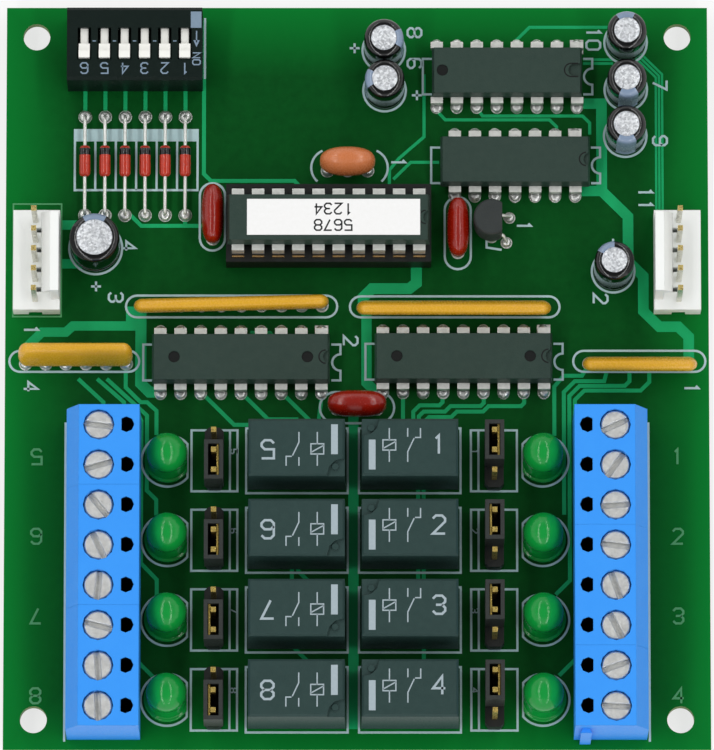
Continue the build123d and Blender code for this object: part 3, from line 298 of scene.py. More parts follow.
aluminium = Finish("can_top", (252, 254, 255), (236, 240, 246), 0.8, (0.3, 0.5), 0.6, 0.3)
aluminium = aluminium.speckle(0.22, rgb(140, 144, 150), 0.75).set(metallic=0.35).material

NODE_FINISHES = {
    "circuit_board": mask,
    "left_terminal": terminal_blue,
    "right_terminal": terminal_blue,
    "terminal_contacts": tin,
    "relay_pins": tin,
    "relay_": relay_black,
    "jumper_bases": header_black,
    "jumper_shunts": shunt_black,
    "shunt_clips": gold,
    "cable_connectors": connector_white,
    "header_pins": pin_plating,
    "switch_housing": switch_black,
    "switch_slider": slider_white,
    "line_transceiver": chip_black,
    "logic_chip": chip_black,
    "relay_drivers": chip_black,
    "microcontroller": chip_black,
    "microcontroller_label": paper,
    "chip_socket": socket_black,
    "chip_leads": shaded_lead_plating,
    "component_leads": tin,
}
for node, piece in frame["nodes"].items():
    fits = [start for start in NODE_FINISHES if node.startswith(start)]
    if fits:
        best = max(fits, key=len)
        piece.data.materials.clear()
        piece.data.materials.append(NODE_FINISHES[best])


# Shapes
def placed(x, y, z, turn=0.0, lean=0.0):
    """A place in mm, turned about Z and leaning towards +Y, in degrees."""
    tip = Matrix.Rotation(radians(-lean), 4, "X")
    return Matrix.Translation((x, y, z)) @ Matrix.Rotation(radians(turn), 4, "Z") @ tip


def power(value, exponent):
    return abs(value) ** exponent * (1 if value >= 0 else -1)


class Shape:
    """Points and faces of one piece, in mm. A mark is the number of the finish that a face takes."""

    def __init__(self):
        self.points = []
        self.faces = []
        self.marks = []

    def rings(self, rings, closed_ends=True, marks=lambda n, i: 0):
        """Joins rings of as many points each into a skin. Marks go by ring and side."""
        count = len(rings[0])
        start = len(self.points)
        for ring in rings:
            self.points += [Vector(point) for point in ring]
        for n in range(len(rings) - 1):
            for i in range(count):
                j = (i + 1) % count
                low = start + n * count
                self.faces.append([low + i, low + j, low + count + j, low + count + i])
                self.marks.append(marks(n, i))
        if closed_ends:
            last = start + (len(rings) - 1) * count
            self.faces.append([start + i for i in reversed(range(count))])
            self.faces.append([last + i for i in range(count)])
            self.marks += [marks(0, 0), marks(len(rings) - 2, 0)]

    def lathe(self, profile, place, sides=40, flat=None, **marks):
        """Turns (radius, level) pairs about the upright axis of a place, cut flat at x where given."""
        rings = []
        for radius, level in profile:
            ring = []
            for i in range(sides):
                x = radius * cos(2 * pi * i / sides)
                if flat is not None:
                    x = min(x, flat)
                ring.append(place @ Vector((x, radius * sin(2 * pi * i / sides), level)))
            rings.append(ring)
        self.rings(rings, **marks)

    def prism(self, outline, low, high, bevel=0.0, place=Matrix.Identity(4)):
        """A convex outline given anticlockwise, raised from low to high, with its top edge bevelled."""
        rings = [[(x, y, low) for x, y in outline], [(x, y, high - bevel) for x, y in outline]]
        if bevel:
            rings.append([(x, y, high) for x, y in inset(outline, bevel)])
        self.rings([[place @ Vector(point) for point in ring] for ring in rings])

    def box(self, low, high, bevel=0.0):
        outline = [(low[0], low[1]), (high[0], low[1]), (high[0], high[1]), (low[0], high[1])]
        self.prism(outline, low[2], high[2], bevel)

    def tube(self, path, radius, sides=12):
        """A round wire along a path of points."""
        path = [Vector(point) for point in path]
        rings = []
        for n, point in enumerate(path):
            before = path[max(n - 1, 0)]
            after = path[min(n + 1, len(path) - 1)]
            along = (after - before).normalized()
            across = along.cross(Vector((1, 0, 0))) if abs(along.x) < 0.9 else along.cross(Vector((0, 0, 1)))
            across.normalize()
            other = along.cross(across)
            ring = []
            for i in range(sides):
                angle = 2 * pi * i / sides
                ring.append(point + radius * (cos(angle) * across + sin(angle) * other))
            rings.append(ring)
        self.rings(rings)

    def ribbon(self, points, width, low, high, closed=False):
        """A flat strip along a line, with mitred corners."""
        points = [Vector(point) for point in points]
        left = offset(points, width / 2, closed)
        right = offset(points, -width / 2, closed)
        rings = []
        for a, b in zip(left, right):
            rings.append([(a.x, a.y, low), (b.x, b.y, low), (b.x, b.y, high), (a.x, a.y, high)])
        if closed:
            rings.append(rings[0])
        self.rings(rings, not closed)

    def dipped(self, length, thickness, height, place, plan=2.6, section=2.4, slices=28, sides=24, end=None):
        """A coated body: rounded from above by the plan power or an end radius, and across by section."""
        rings = []
        for n in range(slices + 1):
            share = sin(pi / 2 * (2 * n / slices - 1))
            if end:
                turned = pi / 2 * min(2 * n / slices, 2 - 2 * n / slices)
                share = (1 - 2 * end / length * (1 - cos(turned))) * (1 if 2 * n > slices else -1)
                scale = max(sin(turned), 0.02)
            else:
                scale = max(1 - abs(share) ** plan, 1e-4) ** (1 / plan)
            ring = []
            for i in range(sides):
                angle = 2 * pi * i / sides
                y = thickness / 2 * scale * power(cos(angle), 2 / section)
                z = height / 2 * (1 + scale ** 0.8 * power(sin(angle), 2 / section))
                ring.append(place @ Vector((length / 2 * share, y, z)))
            rings.append(ring)
        self.rings(rings)

    def build(self, name, finishes, body="root", smooth=SMOOTH_ANGLE, replaces=()):
        """Makes the piece, which rides on a body and may stand for some nodes."""
        mesh = bpy.data.meshes.new(name)
        mesh.from_pydata([point * MM for point in self.points], [], self.faces)
        for finish in finishes:
            mesh.materials.append(finish)
        mesh.polygons.foreach_set("material_index", self.marks)
        work = bmesh.new()
        work.from_mesh(mesh)
        bmesh.ops.remove_doubles(work, verts=work.verts, dist=MERGE * MM)
        bmesh.ops.dissolve_degenerate(work, edges=work.edges, dist=MERGE * MM)
        bmesh.ops.recalc_face_normals(work, faces=work.faces)
        work.to_mesh(mesh)
        work.free()
        mesh.shade_smooth()
        mesh.set_sharp_from_angle(angle=radians(smooth))
        piece = add_object(name, mesh)
        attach(piece, body)
        if replaces:
            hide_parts(*replaces)


def inset(outline, amount):
    """A convex anticlockwise outline drawn in by an amount."""
    made = []
    for n, point in enumerate(outline):
        before = Vector(outline[n - 1])
        here = Vector(point)
        after = Vector(outline[(n + 1) % len(outline)])
        first = (here - before).normalized()
        second = (after - here).normalized()
        inward = Vector((-first.y - second.y, first.x + second.x)).normalized()
        lean = max(inward.dot(Vector((-first.y, first.x))), 0.3)
        made.append(tuple(here + inward * amount / lean))
    return made


def offset(points, amount, closed):
    """The points of a line moved sideways, mitred at its corners."""
    moved = []
    for n, here in enumerate(points):
        if closed:
            before, after = points[n - 1], points[(n + 1) % len(points)]
        else:
            before = points[n - 1] if n else here + here - points[1]
            after = points[n + 1] if n < len(points) - 1 else here + here - points[n - 1]
        first = (here - before).normalized()
        second = (after - here).normalized()
        side = Vector((-first.y - second.y, first.x + second.x)).normalized()
        lean = max(side.dot(Vector((-first.y, first.x))), 0.4)
        moved.append(here + side * amount / lean)
    return moved


def arc(x, y, radius, start, end, steps=12):
    """Points along an arc, in degrees."""
    angles = [radians(start + (end - start) * n / steps) for n in range(steps + 1)]
    return [(x + radius * cos(angle), y + radius * sin(angle)) for angle in angles]


# Lamps: moulded lens with a flange that is flat on the side of the jumpers
LAMP_BODY = 2.5
LAMP_FLAT = 2.5
FLANGE_HEIGHT = 1.0
ROUNDING = 0.08
lamps = Shape()
lamp_places = []
for low, high in solid_boxes("output_lamps"):
    flange = (high.y - low.y) / 2
    side = -1 if low.x > 0 else 1
    x = high.x - flange if side < 0 else low.x + flange
    y = middle(low, high)[1]
    lamp_places.append((x, y, side))
    dome = high.z - low.z - LAMP_BODY
    profile = [(0, 0), (flange - ROUNDING, 0), (flange, ROUNDING), (flange, FLANGE_HEIGHT - ROUNDING)]
    profile += [(flange - ROUNDING, FLANGE_HEIGHT), (LAMP_BODY + ROUNDING, FLANGE_HEIGHT)]
    profile += [(LAMP_BODY, FLANGE_HEIGHT + ROUNDING)] + arc(0, dome, LAMP_BODY, 0, 90)
    lamps.lathe(profile, placed(x, y, low.z, 180 if side < 0 else 0), sides=56, flat=LAMP_FLAT)
lamps.build("lamp_lenses", [lamp_green], replaces=["output_lamps"], smooth=50)

# Electrolytic capacitors: sleeve with a crimp and a folded rim, a pale stripe, and an etched metal top
CAN_STRIPES = {
    (3.4, 42.1): 0,
    (3.5, 36.9): 180,
    (34.1, 43.1): 95,
    (34.1, 37.0): -85,
    (34.0, 31.0): -90,
    (32.4, 13.5): 120,
    (-33.1, 16.5): 90,
}
STRIPE_HALF = 28
CAN_SIDES = 72
CAN_RIM = 0.85
CAN_SHOULDER = 0.75
cans = Shape()
can_places = []
for low, high in solid_boxes("electrolytic_capacitors"):
    x, y = middle(low, high)
    radius = (high.x - low.x) / 2
    height = high.z - low.z
    can_places.append((x, y, radius))
    stripe = nearest(CAN_STRIPES, x, y)
    rim = radius - CAN_RIM
    profile = [(0, 0.15), (radius * 0.75, 0.15), (radius * 0.8, 0), (radius * 0.96, 0.05), (radius, 0.3)]
    profile += [(radius, 1.0), (radius * 0.93, 1.25), (radius * 0.93, 1.45), (radius, 1.7)]
    for out, up in arc(0, 0, 1, 0, 90, 6):
        profile.append((rim + CAN_RIM * out, height - CAN_SHOULDER + CAN_SHOULDER * up))
    profile += [(rim - 0.05, height - 0.1), (rim - 0.05, height - 0.22)]
    top_ring = len(profile) - 1
    profile += [(rim - 0.35, height - 0.16), (rim - 0.5, height - 0.14), (0, height - 0.12)]

    def can_mark(n, i):
        if n >= top_ring - 1:
            return 2
        away = (degrees(2 * pi * (i + 0.5) / CAN_SIDES) - stripe + 180) % 360 - 180
        return 1 if abs(away) < STRIPE_HALF else 0

    cans.lathe(profile, placed(x, y, low.z), sides=CAN_SIDES, marks=can_mark)
can_finishes = [sleeve_black, sleeve_stripe, aluminium]
cans.build("capacitor_cans", can_finishes, replaces=["electrolytic_capacitors"], smooth=40)

# Dipped parts: coated bodies whose coat runs a little way down each lead
LEAD_RADIUS = 0.25


def coat_drips(shape, points, low, high, radius):
    for x, y in points:
        profile = [(LEAD_RADIUS, low), (LEAD_RADIUS + 0.06, low + 0.1), (radius, high)]
        shape.lathe(profile, placed(x, y, 0), sides=14)


ceramics = Shape()
for low, high in solid_boxes("ceramic_capacitors"):
    x, y = middle(low, high)
    upright = high.y - low.y > high.x - low.x
    length = max(high.y - low.y, high.x - low.x)
    thickness = min(high.y - low.y, high.x - low.x)
    place = placed(x, y, low.z, 90 if upright else 0)
    ceramics.dipped(length, thickness, high.z - low.z, place, plan=2.8, section=2.2)
    feet = [(x, y - PITCH), (x, y + PITCH)] if upright else [(x - PITCH, y), (x + PITCH, y)]
    coat_drips(ceramics, feet, low.z - 0.7, low.z + 1.2, 0.55)
ceramics.build("ceramic_bodies", [ceramic_red], replaces=["ceramic_capacitors"], smooth=60)

RESONATOR_LEAN = 16
RESONATOR_THICKNESS = 3.3
low, high = corners("resonator")
resonator = Shape()
x, y = middle(low, high)
rise = high.z - low.z - 0.7
foot = y - rise / 2 * sin(radians(RESONATOR_LEAN))
place = placed(x, foot, low.z + 0.3, 0, RESONATOR_LEAN)
resonator.dipped(high.x - low.x + 0.1, RESONATOR_THICKNESS, rise, place, plan=2.3, section=2.1)
feet = [(x + n * PITCH, low.y + 1.55) for n in (-1, 0, 1)]
coat_drips(resonator, feet, low.z - 0.5, low.z + 1.3, 0.6)
resonator.build("resonator_body", [resonator_orange], replaces=["resonator"], smooth=60)

# Resistor networks: long coated bars, each at its own lean and turn
NETWORK_THICKNESS = 1.75
NETWORK_LEANS = {
    (-15.9, 9.1): (-8, 1.4),
    (12.2, 8.9): (-14, 0),
    (-35.5, 1.6): (14, 0),
    (35.6, 1.6): (-14, 0),
}
networks = Shape()
for low, high in solid_boxes("resistor_networks"):
    height = high.z - low.z
    x, y = middle(low, high)
    lean, turn = nearest(NETWORK_LEANS, x, y)
    place = placed(x, y - height / 2 * sin(radians(lean)), low.z, turn, lean)
    networks.dipped(high.x - low.x, NETWORK_THICKNESS, height, place, section=2.8, slices=25, end=1.1)
networks.build("network_bodies", [network_yellow], replaces=["resistor_networks"], smooth=60)

# Regulator with its flat side
low, high = corners("regulator")
regulator = Shape()
radius = (high.y - low.y) / 2
x = low.x + radius
tall = high.z - low.z
profile = [(0, 0), (radius - 0.15, 0), (radius, 0.15)]
profile += [(radius, tall - 0.25), (radius - 0.2, tall), (0, tall)]
regulator.lathe(profile, placed(x, middle(low, high)[1], low.z), sides=48, flat=high.x - x)
regulator.build("regulator_body", [regulator_black], replaces=["regulator"])

# Diodes: glass tubes with a black band at the upper end
DIODE_RADIUS = 0.7
BAND_RADIUS = DIODE_RADIUS + 0.01
BAND = (1.25, 0.4)
DIODE_END = [(0, 0), (0.35, 0.02), (0.58, 0.14), (DIODE_RADIUS, 0.38)]
band_rings = (len(DIODE_END), len(DIODE_END) + 1)
diodes = Shape()
diode_places = []
for low, high in solid_boxes("diodes"):
    x, y = middle(low, high)
    length = high.y - low.y
    diode_places.append((x, y))
    along = Matrix.Translation((x, low.y, (low.z + high.z) / 2)) @ Matrix.Rotation(radians(-90), 4, "X")
    start = length - BAND[0]
    profile = DIODE_END + [(DIODE_RADIUS, start), (BAND_RADIUS, start + 0.02)]
    profile += [(BAND_RADIUS, length - BAND[1])]
    profile += [(radius, length - level) for radius, level in reversed(DIODE_END)]
    diodes.lathe(profile, along, sides=28, marks=lambda n, i: 1 if n in band_rings else 0)
diodes.build("diode_bodies", [diode_red, diode_band], replaces=["diodes"], smooth=45)

# Round wires in place of the plain leads, with a bend in those of the diodes
WIRE_RADIUS = 0.22
BEND = 0.7
wires = Shape()
diode_middle = sum(y for x, y in diode_places) / len(diode_places)
wire_places = []
for low, high in solid_boxes("component_leads"):
    x, y = middle(low, high)
    path = [(x, y, low.z), (x, y, high.z)]
    if high.y - low.y > 1:
        outward = 1 if y > diode_middle else -1
        level = high.z - LEAD_RADIUS
        inner = low.y if outward > 0 else high.y
        y = (high.y if outward > 0 else low.y) - outward * LEAD_RADIUS
        path = [(x, y, low.z)]
        path += [(x, y - outward * (BEND - a), level - BEND + b) for a, b in arc(0, 0, BEND, 0, 90, 6)]
        path.append((x, inner, level))
    wire_places.append((x, y))
    wires.tube(path, WIRE_RADIUS)
wires.build("component_wires", [tin], replaces=["component_leads"], smooth=50)

# Clamp screws: rounded heads with a deep slot, whose direction is read from the solid
HEAD_RADIUS = 1.8
HEAD_HEIGHT = 1.7
NECK_RADIUS = 1.0
THREAD_RADIUS = 1.15
SLOT_WIDTH = 0.6
SLOT_DEPTH = 0.8
HEAD_BEVEL = 0.16
THREAD_PITCH = 0.5
THREAD_DEPTH = 0.15


def slot_angle(node, level):
    """Direction of the slot of a screw, from the corners of its floor, in degrees."""
    floor = [v.co / MM for v in frame["nodes"][node].data.vertices if abs(v.co.z / MM - level) < 0.01]
    pairs = [(a, b) for a in floor for b in floor]
    first, second = max(pairs, key=lambda pair: (pair[0] - pair[1]).to_2d().length)
    span = second - first
    return degrees(atan2(span.y, span.x))


screw_nodes = sorted(n for n in frame["nodes"] if "_screw_" in n)
slot_corner = degrees(atan2(SLOT_WIDTH / 2, HEAD_RADIUS))
for node in screw_nodes:
    low, high = corners(node)
    floor = high.z - SLOT_DEPTH
    head_low = high.z - HEAD_HEIGHT
    screw = Shape()
    place = placed(*middle(low, high), 0, slot_angle(node, floor) + slot_corner / 2)
    profile = [(0, low.z)]
    level = low.z
    while level < head_low - THREAD_PITCH:
        profile += [(THREAD_RADIUS - THREAD_DEPTH, level), (THREAD_RADIUS, level + THREAD_PITCH / 2)]
        level += THREAD_PITCH
    profile += [(NECK_RADIUS, level), (NECK_RADIUS, head_low), (HEAD_RADIUS - 0.1, head_low)]
    profile += [(HEAD_RADIUS, head_low + 0.1), (HEAD_RADIUS, floor), (0, floor)]
    screw.lathe(profile, place, sides=40)
    for half in (0, 180):
        outline = arc(0, 0, HEAD_RADIUS, slot_corner, 180 - slot_corner, 20)
        screw.prism(outline, floor, high.z, HEAD_BEVEL, place @ Matrix.Rotation(radians(half), 4, "Z"))
    body = next(name for name, nodes in frame["record"]["behaviour"]["bodies"].items() if node in nodes)
    screw.build(f"{node}_head", [zinc], body=body, replaces=[node])

# Solder: a pad on each face of the board, and a joint that climbs each pin
PIN_RADIUS = 0.3
FLAT_PIN = 0.15
PAD_HEIGHT = 0.045
PAD_RIM = 0.02
HOLLOW = 1.8
RISE_SHARES = (0.8, 1.15)
FOOT_SHARES = (0.84, 0.96)
WIRE_JOINT = (0.86, 0.75)
UNDER_WIRE_JOINT = (0.9, 0.9)
LEAD_PAD = 0.8
LEAD_RISES = (0.3, 0.7)
PIN_PADS = {"relay_pins": 0.95, "header_pins": 0.9, "terminal_contacts": 1.5}
PIN_RISE = 1.1
random = Random(7)
pads = Shape()
top_joints = Shape()
under_joints = Shape()


def solder_joint(x, y, radius, height, under=False, stretch=1.0, power_of=1.0):
    """A round or oval pad with solder that climbs a pin: domed at 1, hollow above it."""
    place = placed(x, y, BOARD_BOTTOM if under else BOARD_TOP)
    if under:
        place = place @ Matrix.Rotation(pi, 4, "X")
    place = place @ Matrix.Diagonal((1.0, stretch, 1.0, 1.0))
    pads.lathe([(0, 0), (radius, 0), (radius - PAD_RIM, PAD_HEIGHT), (0, PAD_HEIGHT)], place, sides=24)
    rise = height * random.uniform(*RISE_SHARES)
    foot = radius * random.uniform(*FOOT_SHARES)
    profile = [(0, 0.03), (foot, PAD_HEIGHT)]
    for out, up in arc(0, 0, 1, 0, 90, 6)[1:]:
        profile.append((PIN_RADIUS + (foot - PIN_RADIUS) * out ** power_of, PAD_HEIGHT + rise * up))
    profile.append((0, profile[-1][1] + 0.02))
    (under_joints if under else top_joints).lathe(profile, place, sides=16)


chip_boxes = solid_boxes("line_transceiver") + solid_boxes("logic_chip") + solid_boxes("relay_drivers")
switch_low, switch_high = corners("switch_housing")


def chip_of(x, y):
    """The chip that a lead belongs to."""

    def away(box):
        return hypot(max(box[0].x - x, x - box[1].x, 0), middle(*box)[1] - y)

    return min(chip_boxes, key=away)


for x, y in wire_places:
    solder_joint(x, y, *WIRE_JOINT)
    solder_joint(x, y, *UNDER_WIRE_JOINT, under=True, power_of=HOLLOW)
for low, high in solid_boxes("chip_leads"):
    x, y = middle(low, high)
    if low.z > BOARD_TOP:
        continue
    if high.z > BOARD_TOP + 1:
        chip_low, chip_high = chip_of(x, y)
        side = 1 if y > middle(chip_low, chip_high)[1] else -1
        y = high.y - FLAT_PIN if side > 0 else low.y + FLAT_PIN
        if side > 0 and x > chip_high.x - 2:
            square_low = (x - 0.85, y - 0.9, BOARD_TOP)
            pads.box(square_low, (x + 0.85, y + 0.95, BOARD_TOP + PAD_HEIGHT), PAD_RIM)
        solder_joint(x, y + side * 0.12, LEAD_PAD, random.uniform(*LEAD_RISES), stretch=1.12)
    solder_joint(x, y, LEAD_PAD, 0.8, under=True, stretch=1.1, power_of=HOLLOW)
for node, radius in PIN_PADS.items():
    for low, high in solid_boxes(node):
        solder_joint(*middle(low, high), radius, PIN_RISE, under=True, power_of=HOLLOW)

# Outer legs of the regulator: where each leaves the case, and its pad
REGULATOR_LEGS = (((17.4, 20.3), (19.3, 20.4)), ((17.4, 18.3), (18.9, 17.2)))
legs = Shape()
for (start_x, start_y), (x, y) in REGULATOR_LEGS:
    solder_joint(x, y, 0.75, 0.7)
    solder_joint(x, y, 0.75, 0.8, under=True, power_of=HOLLOW)
    bend = (start_x + 1.1, (start_y + y) / 2, 5.5)
    legs.tube([(start_x, start_y, 5.9), bend, (x, y, 4.8), (x, y, 1.0)], WIRE_RADIUS)
legs.build("regulator_legs", [tin])
pads.build("solder_pads", [solder])
top_joints.build("solder_joints", [solder], smooth=50)
under_joints.build("underside_joints", [solder], smooth=50)

# Tracks under the solder mask: the width of each, then the x,y of its points in mm
TRACKS = """
0.5 -35.2,-0.3 -32,-3.3 -32,-6
0.5 -32.8,-0.3 -29.4,-3.3 -29.4,-6
0.5 -31.6,-0.3 -26.5,-5 -26.5,-14.6 -25.3,-15.8 -25.3,-17.8
0.5 -29.2,1.4 -29.2,-1.4 -27.3,-3.3 -26.5,-3.3 -25.3,-4.4 -25.3,-7.5
0.5 -27.7,-4.6 -27.2,-5.7 -27.2,-23.9 -25.2,-26 -25.2,-28.2
0.5 -27.8,-34 -27.8,-36.2 -25.6,-38.4
1.4 -27.3,8.9 -27.3,-0.9 -26.2,-2 -24.8,-2
0.5 -19.6,-2.1 -15.5,-6.2 -13,-6.2
0.5 -14.6,-2.1 -11.2,-5.5 -7.4,-5.5
0.5 -9.5,-2.1 -5.9,-5.7
0.5 -4.4,-2.1 -4.9,-6.2
0.5 5.8,-2 5.8,-7
0.5 10.8,-2 10.8,-3.3 10.4,-3.7 7.9,-3.7 7.1,-4.5 7.1,-7
0.5 16,-2 16,-3.4 15.6,-3.8 11.8,-3.8 11.1,-4.5 8.4,-4.5 7.8,-5.1 7.8,-7
0.5 21.1,-2 21.1,-3.4 20.7,-3.8 16.6,-3.8 15.9,-4.5 12.6,-4.5 11.9,-5.2 9.1,-5.2 8.5,-5.8 8.5,-7
0.5 29.3,1.6 28.4,0.1 26.1,0.1 24.9,-1.3 24.9,-7.6
0.5 31.8,1.6 31.2,-0.6 27.5,-0.6 26.1,-2 26.1,-17.7
0.5 34.4,1.6 34.4,-0.6 33.8,-1.2 28.1,-1.2 26.8,-2.5 26.8,-26.1 25,-27.9
0.5 36.9,1.6 36.9,-0.7 35.8,-1.8 28.7,-1.8 27.5,-3 27.5,-36.1 25.4,-38.2
1.3 -0.45,-4.2 -0.45,-45
0.5 -8.2,-24 -8.2,-28
0.5 -7.4,-24 -7.4,-24.9 -6.1,-26.2 -6.1,-28
0.5 -7.8,-34 -7.8,-34.8 -5.8,-36.8
0.5 7.7,-13.5 7.7,-28
0.5 8.4,-13.5 8.4,-38
0.5 -28.7,20.8 -27.3,19.4 -18.2,19.4
0.5 -21.75,20.8 -21.75,19.4
0.35 28.7,40.9 32.5,40.9
0.35 28.7,40.4 32.5,40.4
0.4 20,43.2 21.9,45.1 32.5,45.1
1.3 1.2,9 1.2,-0.8 2.4,-2 3.4,-2
1.2 -28.6,9 -28.6,6.5 -35.9,6.5 -36.8,5.7 -39.8,5.7 -41.6,3.9 -41.6,1.7
1.2 -40.6,19.5 -34,19.5
1.2 -40.6,14.5 -34,14.5
1.4 7.5,15.2 7.5,12 6.6,11.3 1.9,11.3 0.8,10.2 0.8,8.8
0.5 -19.4,46 -19.4,26.1 -18.5,25.2 -7.9,25.2 -7.2,24.4 -7.2,22.8
0.4 8.5,39 8.5,30.9 5.3,28.1 4.1,26.6 4.1,24.4
0.4 10.4,27.6 6.8,27.6 4.6,25.4
0.4 9.9,35 9.9,34.5 11.2,33.1 24.4,33.1 25.3,32.2 25.3,31.2
0.4 15,35 15.9,33.6 28.6,33.6 29.5,32.7 29.5,31.2
1.35 28.4,35.2 31,35.2 31,23.9 34.3,20.6 34.3,14.8 36.2,12.9 36.2,8.4 38.2,6.4 40.6,6.4 41.9,5.1 41.9,1.8
1.35 28.4,23.9 31.2,23.9
0.3 35.4,41.1 37.9,38.6 37.9,20.8
0.3 35.7,41.4 38.3,38.8 38.3,20.8
0.3 36,41.7 38.7,39 38.7,20.8
0.5 -13.5,5.6 -11,5.6 -9.8,4.4
"""
THIN_TRACK = 0.5
LAYER = 0.002
tracks = Shape()
for n, row in enumerate(TRACKS.strip().splitlines()):
    width, *pairs = row.split()
    points = [tuple(float(value) for value in pair.split(",")) for pair in pairs]
    # Each lies a hair higher or lower than its neighbours, so that crossing tracks stay clean
    tracks.ribbon(points, float(width), BOARD_TOP, COPPER + LAYER * (n % 5))
for x, y in diode_places:
    tracks.ribbon([(x, switch_low.y + 1), (x, y + 5.6)], THIN_TRACK, BOARD_TOP, COPPER)
tracks.build("copper_tracks", [track_mask])

# Tracks on the underside, from each terminal to its jumper and relay, and along the coils
RELAY_PIN_X = {-1: (-12.65, -5.03, -2.49), 1: (11.73, 4.11, 1.57)}
JUMPER_X = {-1: -17.97, 1: 17.26}
COIL_START = -43.8
UNDER_COPPER = BOARD_BOTTOM - 0.03
under_tracks = Shape()
for low, high in solid_boxes("terminal_contacts"):
    side = -1 if low.x < 0 else 1
    x, y = middle(low, high)
    jumper_x = JUMPER_X[side]
    under_tracks.ribbon([(x, y), (jumper_x, y)], 1.5, UNDER_COPPER, BOARD_BOTTOM)
    under_tracks.ribbon([(jumper_x, y), (RELAY_PIN_X[side][0], y)], 1.0, UNDER_COPPER + LAYER, BOARD_BOTTOM)
for side in (-1, 1):
    for n, x in enumerate(RELAY_PIN_X[side][1:]):
        end_x = x + side * (2 - n)
        points = [(x, COIL_START + n * 2 * PITCH), (x, -7.0), (end_x, -5.0 + n), (end_x, -2.0)]
        under_tracks.ribbon(points, 0.6, UNDER_COPPER - LAYER * (n + 1), BOARD_BOTTOM)
under_tracks.build("underside_tracks", [track_mask])

# Printed legend: outlines of the parts, and plain numbers in a stroked face of four by six steps
GLYPHS = {
    "0": "10 30 41 45 36 16 05 01 10",
    "1": "15 26 20",
    "2": "05 16 36 45 44 00 40",
    "3": "05 16 36 45 44 33 13/33 42 41 30 10 01",
    "4": "30 36 02 42",
    "5": "46 06 03 33 42 41 30 10 01",
    "6": "45 36 16 05 01 10 30 41 42 33 13 02",
    "7": "06 46 10",
    "8": "13 04 05 16 36 45 44 33 13 02 01 10 30 41 42 33",
    "9": "01 10 30 41 45 36 16 05 04 13 33 44",
    "+": "20 24/02 42",
    "O": "10 30 41 45 36 16 05 01 10",
    "N": "00 06 40 46",
}
ADVANCE = 5.6
STROKE = 0.28
NUMBER_HEIGHT = 1.75
OUTPUT_HEIGHT = 1.9
SMALL_HEIGHT = 1.35


def write(shape, text, x, y, height, turn=0, low=BOARD_TOP, stroke=STROKE, thick=INK - BOARD_TOP):
    """Draws a number about its middle, in strokes."""
    unit = height / 6
    place = placed(x, y, 0, turn)
    start = -((len(text) - 1) * ADVANCE + 4) / 2
    for n, sign in enumerate(text):
        for path in GLYPHS[sign].split("/"):
            steps = [(start + n * ADVANCE + int(pair[0]), int(pair[1]) - 3, 0) for pair in path.split()]
            points = [(place @ (Vector(step) * unit)).to_2d() for step in steps]
            closed = path[:2] == path[-2:]
            shape.ribbon(points[:-1] if closed else points, stroke, low, low + thick, closed)


def line(shape, points, width=STROKE, closed=False):
    """A printed line. Each lies a hair higher than the one before, so that crossing lines stay clean."""
    layer = LAYER * (len(shape.faces) % 7)
    shape.ribbon(points, width, BOARD_TOP, INK + layer, closed)


def capsule(shape, low, high):
    """An outline with round ends, the longer way."""
    low, high = Vector(low), Vector(high)
    x, y = middle(low, high)
    across = min(high - low) / 2
    if high.x - low.x > high.y - low.y:
        points = arc(high.x - across, y, across, -90, 90) + arc(low.x + across, y, across, 90, 270)
    else:
        points = arc(x, high.y - across, across, 0, 180) + arc(x, low.y + across, across, 180, 360)
    line(shape, points, closed=True)


def frame_line(shape, low, high, width=STROKE):
    line(shape, [(low[0], low[1]), (high[0], low[1]), (high[0], high[1]), (low[0], high[1])], width, True)


BRACKET = 1.15
BRACKET_RISE = 2.3
BRACKET_GAPS = (1.15, 1.35)
NOTCH = 1.05


def chip_brackets(shape, low, high):
    """Ends of a chip's outline, with the notch at the right."""
    y = middle(low, high)[1]
    top = y + BRACKET_RISE
    bottom = y - BRACKET_RISE
    left = low.x - BRACKET_GAPS[0]
    right = high.x + BRACKET_GAPS[1]
    line(shape, [(left + BRACKET, top), (left, top), (left, bottom), (left + BRACKET, bottom)])
    points = [(right - BRACKET, top), (right, top)] + arc(right, y, NOTCH, 90, 270)
    line(shape, points + [(right, bottom), (right - BRACKET, bottom)])


legend = Shape()
dim_legend = Shape()
for low, high in chip_boxes:
    chip_brackets(legend, low, high)
CAPSULES = (
    ((-29.2, 7.6), (-2.5, 10.4)),
    ((-0.9, 7.6), (25.6, 10.3)),
    ((27.3, 0.6), (44.0, 3.3)),
    ((-43.9, 0.6), (-27.5, 3.3)),
    ((-19.9, 16.2), (-16.7, 24.9)),
    ((11.1, 13.8), (14.4, 23.1)),
    ((-4.7, -6.0), (4.7, -2.0)),
)
for low, high in CAPSULES:
    capsule(legend, low, high)
for x, y, radius in can_places:
    line(legend, arc(x, y, radius + 0.2, 0, 345, 40), closed=True)

# Marks on each relay, and the outlines of the relay, its jumper and its lamp
RELAY_PITCH = 4 * PITCH
RELAY_HALVES = Vector((6.4, 4.15))
JUMPER_HALVES = Vector((2.9, 3.9))
JUMPER_LINE = 1.95
LAMP_RING = 3.3
MARK_THICKNESS = 0.02
MARK_BAR = [(-4.75, -2.87), (-4.75, 0.93)]
MARK_NUMBER = Vector((3.6, 0.3, 0))
MARK_LINES = (
    [(-2.6, -1.9), (-2.6, -0.4), (-3.4, -0.4), (-3.4, 0.9), (-1.8, 0.9), (-1.8, -0.4), (-2.6, -0.4)],
    [(-2.6, 0.9), (-2.6, 2.4)],
    [(-3.4, -0.2), (-1.8, 0.7)],
    [(-0.3, -1.9), (-0.3, -0.6), (0.5, 1.1)],
    [(-0.3, 1.3), (-0.3, 2.4)],
    [(1.3, 2.4), (1.3, 1.2), (0.6, 1.2)],
)
